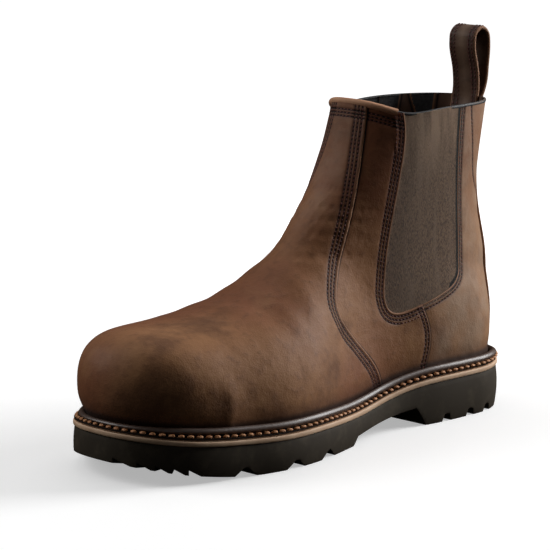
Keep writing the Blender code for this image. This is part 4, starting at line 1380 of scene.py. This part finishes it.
def make_gores():
    under = field_rule("gore", -LENGTH, GORE_UNDER)
    for node, side in (("gore_outer", 1), ("gore_inner", -1)):
        data, faces = keep_where(BASE, BASE_FACES, all_rules(under, lambda rows, s=side: rows[:, 0] * s > 0))
        inside = np.clip(-field_of(data, "gore"), 0, None)
        depth = GORE_STEP - GORE_SWELL * smooth_step(inside / GORE_SWELL_REACH)
        # rim places the painted shadow along the back edge of the elastic
        rim = np.where(in_front(data, GORE_MIDDLE), FAR, inside / MM)
        marks = {"rim": rim, "top": field_of(data, "top") / MM}
        points = data[:, :3] - data[:, 3:6] * depth[:, None]
        link(node + "_elastic", points, faces, ELASTIC, "elastic", [node], marks)


def make_lining():
    points = LAST - NORMALS * WALL
    points[-1, :, 2] = LAST[-1, :, 2] - LINING_DROP
    link("lining", points.reshape(-1, 3), grid_faces(RINGS, 2 * RING_SIDE), LINING, "lining", ["upper"])


def make_inner_patch(name, inside, lift):
    """Leather sewn to the lining at the collar. inside gives a point's distance within its outline."""
    below_rim = field_rule("top", PATCH_TOP, LENGTH)
    data, faces = keep_where(BASE, BASE_FACES, all_rules(below_rim, lambda rows: inside(rows) > 0))
    edge = inside(data) / MM
    marks = {
        "edge": np.clip(edge, 0, FAR),
        "row": np.abs(edge - PATCH_ROW),
        "pale": 0 * edge,
        "low": 0 * edge + HIGH_UP,
        "edge_shadow": 0 * edge + FAR,
    }
    points = data[:, :3] - data[:, 3:6] * (WALL + lift)
    link(name, points, faces, STRAP, "leather", marks=marks)


def make_inner_patches():
    """The end of a facing behind the inner elastic, and the leather that the pull loop is sewn to."""
    ahead, behind, deep = PATCH

    def beside(rows):
        left = deep - field_of(rows, "top")
        sides = [rows[:, 1] - ahead - PATCH_SLOPE * left, behind - rows[:, 1] - PATCH_SLOPE * left]
        return np.min(sides + [left, -rows[:, 0]], axis=0)

    def at_back(rows):
        gaps = [FACING_WIDTH / 2 - np.abs(rows[:, 0]), FACING_DEEP - field_of(rows, "top"), rows[:, 1]]
        return np.min(gaps, axis=0)

    make_inner_patch("inner_patch", beside, PATCH_LIFT)
    make_inner_patch("inner_facing", at_back, FACING_LIFT)


def tube(path, radius, sides, flat):
    """Points and faces of a strand along a path, with closed ends. flat is its width over its height."""
    ahead = unit(np.gradient(path, axis=0))
    out = unit(np.cross(ahead, [0.0, 0.0, 1.0]))
    up = np.cross(out, ahead)
    turn = np.linspace(0, 2 * np.pi, sides, endpoint=False)
    ring = np.cos(turn)[None, :, None] * out[:, None] * flat + np.sin(turn)[None, :, None] * up[:, None]
    return (path[:, None] + ring * radius).reshape(-1, 3), closed_faces(len(path), sides)


def rim_path(depth):
    ring = (LAST - NORMALS * depth)[-1].copy()
    ring[:, 2] = LAST[-1, :, 2] - COLLAR_DROP
    return ring


def make_collar():
    """Rolled leather edge in front of the elastic, and a thin black binding behind it."""
    gore_front = y_of(GORE[0][0])
    ring = rim_path(ROLL_DEPTH)
    front = np.array([ring[j] for j in range(-RING_SIDE, RING_SIDE) if ring[j][1] < gore_front])
    link("collar_roll", *tube(front, ROLL_RADIUS, 16, 0.95), ROLL, "leather")
    back = np.array([point for point in rim_path(BINDING_DEPTH) if point[1] > gore_front - 2 * MM])
    link("collar_binding", *tube(back, BINDING_RADIUS, 12, 0.8), BINDING, "lining")


ROWS = make_vamp() + make_quarters() + make_counter()
STRIP_ROWS = make_back_strip()
make_stitches("upper_stitches", ROWS)
make_stitches("strip_stitches", STRIP_ROWS)
make_gores()
make_lining()
make_inner_patches()
make_collar()


# Sole

STATIONS = 150
NOTCH_FOOT = 16 * MM
NOTCH_TOP = 5 * MM
HEEL_NOTCH_FOOT = 8 * MM
CENTRE_NOTCH = 5 * MM
CENTRE_NOTCH_TOP = 4 * MM
CENTRE_LUG_DEPTH = 4.2 * MM
ROOF_ROUND = 1.2 * MM
CHANNEL_AT = 21 * MM
CHANNEL_WIDTH = 5 * MM
CHANNEL_DEPTH = 4.4 * MM
CHANNEL_DRAFT = 0.3 * MM
CHANNEL_FROM = 0.470
CHANNEL_TO = 0.823
CUT_REACH = 16 * MM
SOLE_BULGE = 1.2 * MM
SOLE_WIDEST = 0.55  # share of the way up
SOLE_EDGE = 0.35 * MM
HEEL_BEVEL = ((-18 * MM, -1.2 * MM), (9 * MM, 2.4 * MM))  # from the heel's end, over the floor
# Layers: height over the base and how far the edge is drawn in, in mm
MIDSOLE_ROWS = ((0.0, 0.5), (0.25, 0.2), (0.7, 0.0), (2.3, 0.0), (2.75, 0.2), (3.0, 0.5))
INSOLE_ROWS = ((0.0, 0.0), (3.0, 0.0), (3.7, 0.4), (4.0, 1.2))
TOE_CENTRE_ALONG = 0.806
HEEL_SINK = 0.65  # share of its height that the welt's ridge loses at the heel
HEEL_SINK_FROM = 128 * MM
TOE_SINK = 0.38  # and at the toe
TOE_SINK_FROM = 122 * MM
SINK_LENGTH = 34 * MM
TOOTH_CUTS = ((11.0, 11.5), (25.0, 8.5), (35.0, 8.0), (44.5, 8.0), (54.0, 8.0))  # from, sweep, degrees
TOOTH_DEPTH = 3.0 * MM
TOOTH_SHALLOW = -0.3 * MM
TOOTH_RADII = (36 * MM, 42 * MM, 48 * MM, 54 * MM, 60 * MM, 66 * MM, 90 * MM)


def stations(heel_in=0.0, toe_in=0.0):
    turn = np.linspace(0, math.pi, STATIONS + 1)
    heel = LENGTH / 2 - heel_in
    toe = -LENGTH / 2 + toe_in
    return heel + (toe - heel) * (1 - np.cos(turn)) / 2


def outline_loop(height, heel_in=0.0, toe_in=0.0):
    y = stations(heel_in, toe_in)
    z = height(y)
    outer = np.stack([half_width(y, 1, heel_in, toe_in), y, z], 1)
    inner = np.stack([-half_width(y, -1, heel_in, toe_in), y, z], 1)
    outer[0, 0] = outer[-1, 0] = 0.0
    return np.vstack([outer, inner[1:-1][::-1]])


def slab_mesh(loops):
    count = len(loops[0])
    faces = grid_faces(len(loops), count)
    for k, base in enumerate((0, (len(loops) - 1) * count)):
        for i in range(STATIONS):
            face = [base + i, base + i + 1, base + count - i - 1, base + (count - i) % count]
            face = list(dict.fromkeys(face))
            faces.append(tuple(face if k else face[::-1]))
    return np.vstack(loops), faces


def outline_prism(name, outline, low, high, axis=0):
    """A cutter: an outline in two of the axes, drawn out along the third."""
    others = [k for k in range(3) if k != axis]
    count = len(outline)
    points = np.zeros((2 * count, 3))
    for k, end in enumerate((low, high)):
        part = points[k * count : (k + 1) * count]
        part[:, others] = outline
        part[:, axis] = end
    faces = [tuple(range(count)), tuple(range(2 * count - 1, count - 1, -1))]
    for j in range(count):
        right = (j + 1) % count
        faces.append((j, count + j, count + right, right))
    return name, points, faces


def tread_z(y):
    rows = np.array(TOE_SPRING)
    return natural_spline(rows[:, 0], rows[:, 1], along_of(y)) * HEEL_HEIGHT


def notch(name, along, foot, top, depth, low, high):
    """Tapered cross notch in the tread, with a rounded roof."""
    y = float(y_of(along))
    base = float(tread_z(y))
    flare = (foot - top) / 2
    outline = [(y - foot / 2 - flare, base - depth), (y + foot / 2 + flare, base - depth)]
    for turn in np.linspace(0, math.pi, 7):
        outline.append((y + top / 2 * math.cos(turn), base + depth - ROOF_ROUND * (1 - math.sin(turn))))
    return outline_prism(name, np.array(outline), low, high)


def toe_tooth(name, angle, sweep):
    """Wedge cut that runs out from the toe's centre. It is deep at one side, so it leaves a saw tooth."""
    centre = np.array([0.0, float(y_of(TOE_CENTRE_ALONG))])
    points = []
    for radius in TOOTH_RADII:
        corners = []
        for step, depth in ((0.0, TOOTH_DEPTH), (sweep, TOOTH_SHALLOW)):
            way = np.array([math.sin(angle + step), -math.cos(angle + step)])
            x, y = centre + way * radius
            held = max(y, -LENGTH / 2)
            corners.append([(x, y, -HEEL_HEIGHT / 3), (x, y, float(tread_z(held)) + depth)])
        points += [corners[0][0], corners[0][1], corners[1][1], corners[1][0]]
    faces = grid_faces(len(TOOTH_RADII), 4)
    last = 4 * (len(TOOTH_RADII) - 1)
    faces += [(0, 1, 2, 3), (last + 3, last + 2, last + 1, last)]
    return name, np.array(points), faces


def tread_cutters():
    wide = BALL_WIDTH
    waist = np.array(WAIST)
    waist = np.stack([y_of(waist[:, 0]), waist[:, 1] * HEEL_HEIGHT], 1)
    toe_y = y_of(np.linspace(TOE_SPRING[0][0], 1.0, 30))
    spring = np.stack([toe_y, tread_z(toe_y)], 1)
    past = -LENGTH / 2 - CUT_REACH
    beyond = spring[-1, 1] + (spring[-1, 1] - spring[-2, 1]) / (toe_y[-2] - toe_y[-1]) * CUT_REACH
    spring = np.vstack([spring, [[past, beyond], [past, -HEEL_HEIGHT], [toe_y[0], -HEEL_HEIGHT]]])
    (front, low), (back, high) = HEEL_BEVEL
    front, back = LENGTH / 2 + front, LENGTH / 2 + back
    bevel = np.array([(front, low), (back, high), (back, -wide), (front, -wide)])
    cutters = [outline_prism("waist", waist, -wide, wide)]
    cutters.append(outline_prism("spring", spring, -wide, wide))
    cutters.append(outline_prism("bevel", bevel, -wide, wide))
    for i, along in enumerate(SIDE_NOTCHES):
        for side, low, high in (("outer", CHANNEL_AT, wide), ("inner", -wide, -CHANNEL_AT)):
            cutters.append(notch(f"notch_{side}_{i}", along, NOTCH_FOOT, NOTCH_TOP, LUG_DEPTH, low, high))
    for i, along in enumerate(CENTRE_NOTCHES):
        size = (CENTRE_NOTCH, CENTRE_NOTCH_TOP, CENTRE_LUG_DEPTH)
        cutters.append(notch(f"notch_centre_{i}", along, *size, -CHANNEL_AT, CHANNEL_AT))
    for i, along in enumerate(HEEL_NOTCHES):
        cutters.append(notch(f"notch_heel_{i}", along, HEEL_NOTCH_FOOT, NOTCH_TOP, LUG_DEPTH, -wide, wide))
    low, high = float(y_of(CHANNEL_TO)), float(y_of(CHANNEL_FROM))
    for i, x in enumerate((-CHANNEL_AT, CHANNEL_AT)):
        foot = CHANNEL_WIDTH / 2 + CHANNEL_DRAFT
        roof = CHANNEL_WIDTH / 2 - CHANNEL_DRAFT
        base = -HEEL_HEIGHT / 3
        outline = [(x - foot, base), (x + foot, base), (x + roof, CHANNEL_DEPTH), (x - roof, CHANNEL_DEPTH)]
        cutters.append(outline_prism(f"channel_{i}", np.array(outline), low, high, axis=1))
    for i, (angle, sweep) in enumerate(TOOTH_CUTS):
        cutters.append(toe_tooth(f"tooth_{i}", math.radians(angle), math.radians(sweep)))
    return cutters


def make_outsole():
    """Moulded rubber unit, cut by the same forms as the solid, with saw teeth round the toe."""
    loops = []
    for share in np.linspace(0, 1, 9):
        inward = SOLE_BULGE * (abs(share - SOLE_WIDEST) / SOLE_WIDEST) ** 2
        loops.append(outline_loop(lambda y, s=share: edge_z(y) * s, inward, inward))
    blank = add_object("outsole_blank", new_mesh("outsole_blank", *slab_mesh(loops), {}))
    helpers = [add_object(name, new_mesh(name, points, faces, {})) for name, points, faces in tread_cutters()]
    for cutter in helpers:
        modifier = blank.modifiers.new(cutter.name, "BOOLEAN")
        modifier.operation = "DIFFERENCE"
        modifier.object = cutter
        modifier.solver = "EXACT"
    bevel = blank.modifiers.new("soft_edges", "BEVEL")
    bevel.width = SOLE_EDGE
    bevel.segments = 2
    bevel.limit_method = "ANGLE"
    bevel.angle_limit = math.radians(38)
    shaped = bpy.data.meshes.new_from_object(blank.evaluated_get(bpy.context.evaluated_depsgraph_get()))
    points = [vertex.co[:] for vertex in shaped.vertices]
    faces = [tuple(face.vertices) for face in shaped.polygons]
    for item in helpers + [blank]:
        bpy.data.objects.remove(item)
    link("outsole_rubber", points, faces, RUBBER, "rubber", ["outsole"], angle=30)


def make_layer(name, node, base, heel_in, toe_in, rows, material):
    """A flat layer. Its rows give a height over its base and how far its edge is drawn in, in mm."""
    loops = []
    for rise, inward in rows:
        more = inward * MM
        loops.append(outline_loop(lambda y, r=rise: base(y) + r * MM, heel_in + more, toe_in + more))
    link(name, *slab_mesh(loops), material, node, [node])


def make_midsole_and_footbed():
    make_layer("midsole_band", "midsole", lambda y: edge_z(y) + GAP, 0.0, 0.0, MIDSOLE_ROWS, MIDSOLE)
    inward = WALL + 2 * GAP
    reach = (HEEL_REACH + inward, TOE_REACH + inward)
    make_layer("footbed", "insole", feather_z, *reach, INSOLE_ROWS, FOOTBED)


def wall_reach(height, reach, bulge):
    lean = max(0.0, 1 - height / (WELT_SWELL * FOOT_RISE)) ** 2
    return reach - bulge * (1 - lean)


# Welt profile: place between edge and ridge foot, place over the ridge, height in mm
WELT_PROFILE = (
    (0.0, 0.0, 0.0),
    (0.0, 0.0, 0.3),
    (0.0, 0.0, 0.5),
    (0.0, 0.0, 1.2),
    (0.06, 0.0, 1.5),
    (0.5, 0.0, 1.5),
    (0.85, 0.0, 1.4),
    (1.0, 0.20, 1.7),
    (1.0, 0.22, 2.5),
    (1.0, 0.04, 3.1),
    (1.0, -0.10, 3.8),
    (1.0, -0.12, 4.6),
    (1.0, -0.04, 5.4),
    (1.0, 0.14, 6.1),
    (1.0, 0.38, 6.55),
    (1.0, 0.66, 6.65),
    (1.0, 0.90, 6.2),
    (1.0, 1.0, 5.4),
    (1.0, 1.0, 2.0),
    (1.0, 1.0, 0.0),
)


def welt_reach(reach, bulge, across, over, height):
    face = wall_reach(height * MM, reach, bulge) - GAP
    ridge = min(WELT_RIDGE, reach * WELT_RIDGE_SHARE)
    foot = wall_reach(WELT_RIDGE_AT, reach, bulge) - GAP - ridge
    if across < 1:
        return WELT_SET_BACK + (foot - WELT_SET_BACK) * across
    return foot + (face - foot) * over


def welt_z(y, height):
    """A height on the welt. Its ridge sinks at the toe's tip and at the back of the heel."""
    sink = HEEL_SINK * smooth_step((y - HEEL_SINK_FROM) / SINK_LENGTH)
    sink = sink + TOE_SINK * smooth_step((-y - TOE_SINK_FROM) / SINK_LENGTH)
    over = max(0.0, height - WELT_LIP)
    return feather_z(y) + height - over * sink


def make_welt():
    loops = []
    marks = {"tan": [], "bead": []}
    for across, over, height in WELT_PROFILE:
        heel_in = welt_reach(HEEL_REACH, HEEL_BULGE, across, over, height)
        toe_in = welt_reach(TOE_REACH, TOE_BULGE, across, over, height)
        loops.append(outline_loop(lambda y, h=height: welt_z(y, h * MM), heel_in, toe_in))
        marks["tan"] += [float(height < WELT_TAN_TO and across == 0)] * len(loops[0])
        marks["bead"] += [float(height > WELT_BEAD_FROM)] * len(loops[0])
    count = len(loops[0])
    faces = grid_faces(len(loops), count)
    last = (len(loops) - 1) * count
    for j in range(count):
        right = (j + 1) % count
        faces.append((last + j, last + right, right, j))
    link("welt_leather", np.vstack(loops), faces, WELT, "welt", ["welt"], marks, 60)


def make_welt_stitches():
    heel_in = welt_reach(HEEL_REACH, HEEL_BULGE, *WELT_SEWN)
    toe_in = welt_reach(TOE_REACH, TOE_BULGE, *WELT_SEWN)
    path = outline_loop(lambda y: feather_z(y) + WELT_STITCH_RISE, heel_in, toe_in)
    path = np.vstack([path, path[:1]])
    run = run_along(path)
    count = int(round(run[-1] / WELT_PITCH))
    at = (np.arange(count) + 0.5) * run[-1] / count
    ahead = unit(sampled(at + MM, run, path) - sampled(at - MM, run, path))
    ups = np.tile([0.0, 0.0, 1.0], (count, 1))
    slanted = ahead + WELT_SLANT * np.cross(ahead, ups)
    points, faces = place_stitches(sampled(at, run, path), slanted, ups, *WELT_STITCH)
    link("welt_stitches", points, faces, WELT_THREAD, "welt_thread")


make_outsole()
make_midsole_and_footbed()
make_welt()
make_welt_stitches()


# Pull loop

LOOP_WIDTH = 21 * MM
LOOP_THICK = 2.4 * MM
LOOP_RISE = 43.5 * MM
LOOP_BOW_DEPTH = 4.4 * MM
LOOP_CLEAR = 0.6 * MM
LOOP_TAIL_INSIDE = 26 * MM
LOOP_TAIL_OUTSIDE = 30 * MM
LOOP_TAPER = 0.7
LOOP_TAPER_FROM = 0.8
LOOP_FLATTEN = 12 * MM
LOOP_STEPS = 200
LOOP_ROWS = (2.0, 4.6)  # rows of stitches, in mm from the strap's edges
LOOP_BOW = (
    # rise, front, back, in shares of LOOP_RISE and LOOP_BOW_DEPTH
    (0.00, 0.00, 0.00),
    (0.23, 0.16, 0.50),
    (0.39, 0.34, 0.68),
    (0.53, 0.68, 0.84),
    (0.68, 1.00, 0.96),
    (0.80, 1.00, 0.92),
    (0.90, 0.72, 0.62),
)


def back_face_y(x, z, depth):
    front, back, outer, _ = shaft_sections(z)
    middle = (front + back) / 2
    reach = (back - front) / 2 - depth
    width = outer - depth
    return middle + reach * (1 - np.abs(x / width) ** SHAFT_POWER) ** (1 / SHAFT_POWER)


def loop_path():
    base = float(collar_z(LENGTH / 2))
    half = LOOP_THICK / 2
    rows = np.array(LOOP_BOW)
    height = base + rows[:, 0] * LOOP_RISE
    inside = float(back_face_y(0.0, base, WALL)) - LOOP_CLEAR - half
    outside = float(back_face_y(0.0, base, COUNTER_STEP)) + GAP + half
    front = np.stack([inside - rows[:, 1] * LOOP_BOW_DEPTH, height], 1)
    back = np.stack([outside + rows[:, 2] * LOOP_BOW_DEPTH, height], 1)
    crown = [[(inside + outside) / 2, base + LOOP_RISE - half]]
    low = base - np.linspace(LOOP_TAIL_INSIDE, 0, 5)[:-1]
    inner_tail = np.stack([back_face_y(0.0, low, WALL) - LOOP_CLEAR - half, low], 1)
    low = base - np.linspace(0, LOOP_TAIL_OUTSIDE, 5)[1:]
    outer_tail = np.stack([back_face_y(0.0, low, COUNTER_STEP) + GAP + half, low], 1)
    return smooth_path(np.vstack([inner_tail, front, crown, back[::-1], outer_tail]), LOOP_STEPS), base


def strap_points(across, lift):
    """Points along the strap at a place across it, -1 to 1, and a place in its thickness, -1 to 1."""
    path, base = loop_path()
    ahead = unit(np.gradient(path, axis=0))
    out = np.stack([-ahead[:, 1], ahead[:, 0]], 1)
    taper = np.interp(np.arange(LOOP_STEPS), (LOOP_STEPS * LOOP_TAPER_FROM, LOOP_STEPS - 1), (1, LOOP_TAPER))
    x = across * taper * LOOP_WIDTH / 2
    held = np.minimum(path[:, 1], base)
    bend = back_face_y(0.0, held, COUNTER_STEP) - back_face_y(x, held, COUNTER_STEP)
    flat = np.clip((path[:, 1] - base) / LOOP_FLATTEN, 0, 1)
    y = path[:, 0] + out[:, 0] * lift * LOOP_THICK / 2 - bend * (1 - flat) ** 2
    z = path[:, 1] + out[:, 1] * lift * LOOP_THICK / 2
    normals = np.stack([0 * x, out[:, 0], out[:, 1]], 1)
    return np.stack([x, y, z], 1), normals


def strap_marks(section):
    """Marks of the strap, which is worn along its middle on its outer face."""
    across, lift = np.array(section).T
    gap = (1 - np.abs(across)) * LOOP_WIDTH / 2 / MM
    row = np.min([np.abs(gap - at) for at in LOOP_ROWS], axis=0)
    marks = {
        "edge": gap,
        "row": np.where(lift > 0, row, FAR),
        "pale": np.where(lift > 0, 0.5 * np.exp(-((across / 0.3) ** 2)), 0.0),
        "low": np.full(len(section), HIGH_UP),
        "edge_shadow": np.full(len(section), FAR),
    }
    return {key: np.tile(values, LOOP_STEPS) for key, values in marks.items()}


def make_pull_loop():
    """Leather strap with rounded edges, and two rows of stitches along each edge."""
    edge = LOOP_THICK / LOOP_WIDTH
    middle = np.linspace(-1 + edge, 1 - edge, 14)[1:-1]
    places = np.r_[np.linspace(-1, -1 + edge, 5), middle, np.linspace(1 - edge, 1, 5)]
    past = np.clip((np.abs(places) - (1 - edge)) / edge, 0, 1)
    lift = np.sqrt(1 - past**2)
    section = list(zip(places, lift)) + list(zip(places[::-1][1:-1], -lift[::-1][1:-1]))
    loops = np.stack([strap_points(across, high)[0] for across, high in section], 1)
    faces = closed_faces(LOOP_STEPS, len(section))
    link("strap", loops.reshape(-1, 3), faces, STRAP, "leather", ["pull_loop"], strap_marks(section))
    rows = []
    for at in LOOP_ROWS:
        for side in (-1, 1):
            line = np.hstack(strap_points(side * (1 - 2 * at * MM / LOOP_WIDTH), 1.0))
            rows.append((line, lambda line: np.zeros(len(line))))
    make_stitches("strap_stitches", rows)


make_pull_loop()


# Light and camera

TARGET = np.array([0.0, 0.0, 0.090]) + SHIFT
AZIMUTH = math.radians(45.311)
ELEVATION = math.radians(10.591)
DISTANCE = 1.600
LENS = 179.22
FRAME_SHIFT = (-0.0404, 0.01426)

RIGHT = np.array([math.cos(AZIMUTH), math.sin(AZIMUTH), 0.0])
BACK = np.array([math.sin(AZIMUTH), -math.cos(AZIMUTH), 0.0])
UP = np.array([0.0, 0.0, 1.0])


def aim(item, place, target):
    item.location = place
    item.rotation_euler = (Vector(target) - Vector(place)).to_track_quat("-Z", "Y").to_euler()


def make_camera():
    data = bpy.data.cameras.new("camera")
    data.sensor_width = 36
    data.lens = LENS
    data.shift_x, data.shift_y = FRAME_SHIFT
    data.clip_start = 0.05
    camera = add_object("camera", data)
    out = BACK * math.cos(ELEVATION) + UP * math.sin(ELEVATION)
    aim(camera, TARGET + out * DISTANCE, TARGET)
    bpy.context.scene.camera = camera


LIGHTS = (
    # name, to the right, towards the camera, up, width, height, watts
    ("left", -1.10, -0.10, 0.80, 0.8, 0.9, 8),
    ("right", 1.10, -0.42, 0.50, 0.6, 0.9, 19),
    ("top", 0.0, -0.45, 1.3, 1.2, 1.2, 5),
    ("front", 0.2, 1.3, 0.35, 1.0, 0.6, 0.5),
)
WORLD_LOW = 0.16
WORLD_SIDE = 0.7
WORLD_TOP = 0.6
FLOOR_REACH = 14.0


def make_lights():
    for name, right, near, up, width, height, watts in LIGHTS:
        data = bpy.data.lights.new(name, "AREA")
        data.shape = "RECTANGLE"
        data.size = width
        data.size_y = height
        data.energy = watts
        aim(add_object(name + "_light", data), TARGET + RIGHT * right + BACK * near + UP * up, TARGET)


def make_world():
    """Bright on the left and right of the camera, weak from its own side, dark from below."""
    world = bpy.data.worlds.new("studio")
    world.use_nodes = True
    nodes = Nodes(world.node_tree, "Generated")
    parts = []
    for way in (RIGHT, UP):
        node = nodes.add("VectorMath", {0: nodes.place, 1: way}, operation="DOT_PRODUCT")
        parts.append(node.outputs["Value"])
    side = nodes.span(nodes.math("ABSOLUTE", parts[0], 0.0), 0.5, 1.0, WORLD_LOW, WORLD_SIDE)
    glow = nodes.math("ADD", side, nodes.span(parts[1], 0.3, 1.0, 0.0, WORLD_TOP))
    glow = nodes.math("MULTIPLY", glow, nodes.span(parts[1], -0.25, 0.05))
    nodes.put(world.node_tree.nodes["Background"].inputs["Strength"], glow)
    bpy.context.scene.world = world


def make_floor():
    """Pale floor that shines a little, more so far away, where it runs into the background."""
    look = Look("floor")
    look.base("Base Color", (0.80, 0.80, 0.80, 1.0))
    look.base("Roughness", 0.5)
    look.base("Emission Color", (1.0, 1.0, 1.0, 1.0))
    away = look.add("VectorMath", {0: look.place}, operation="LENGTH").outputs["Value"]
    look.base("Emission Strength", look.span(away, 0.15, 0.9, 0.42, 1.0))
    mesh = bpy.data.meshes.new("floor")
    corners = [(x * FLOOR_REACH, y * FLOOR_REACH, 0) for x, y in ((-1, -1), (1, -1), (1, 1), (-1, 1))]
    mesh.from_pydata(corners, [], [(0, 1, 2, 3)])
    mesh.materials.append(look.material)
    floor = add_object("floor", mesh)
    floor.visible_diffuse = False
    floor.visible_glossy = False


make_camera()
make_lights()
make_world()
make_floor()
bpy.context.scene.view_settings.view_transform = "Standard"
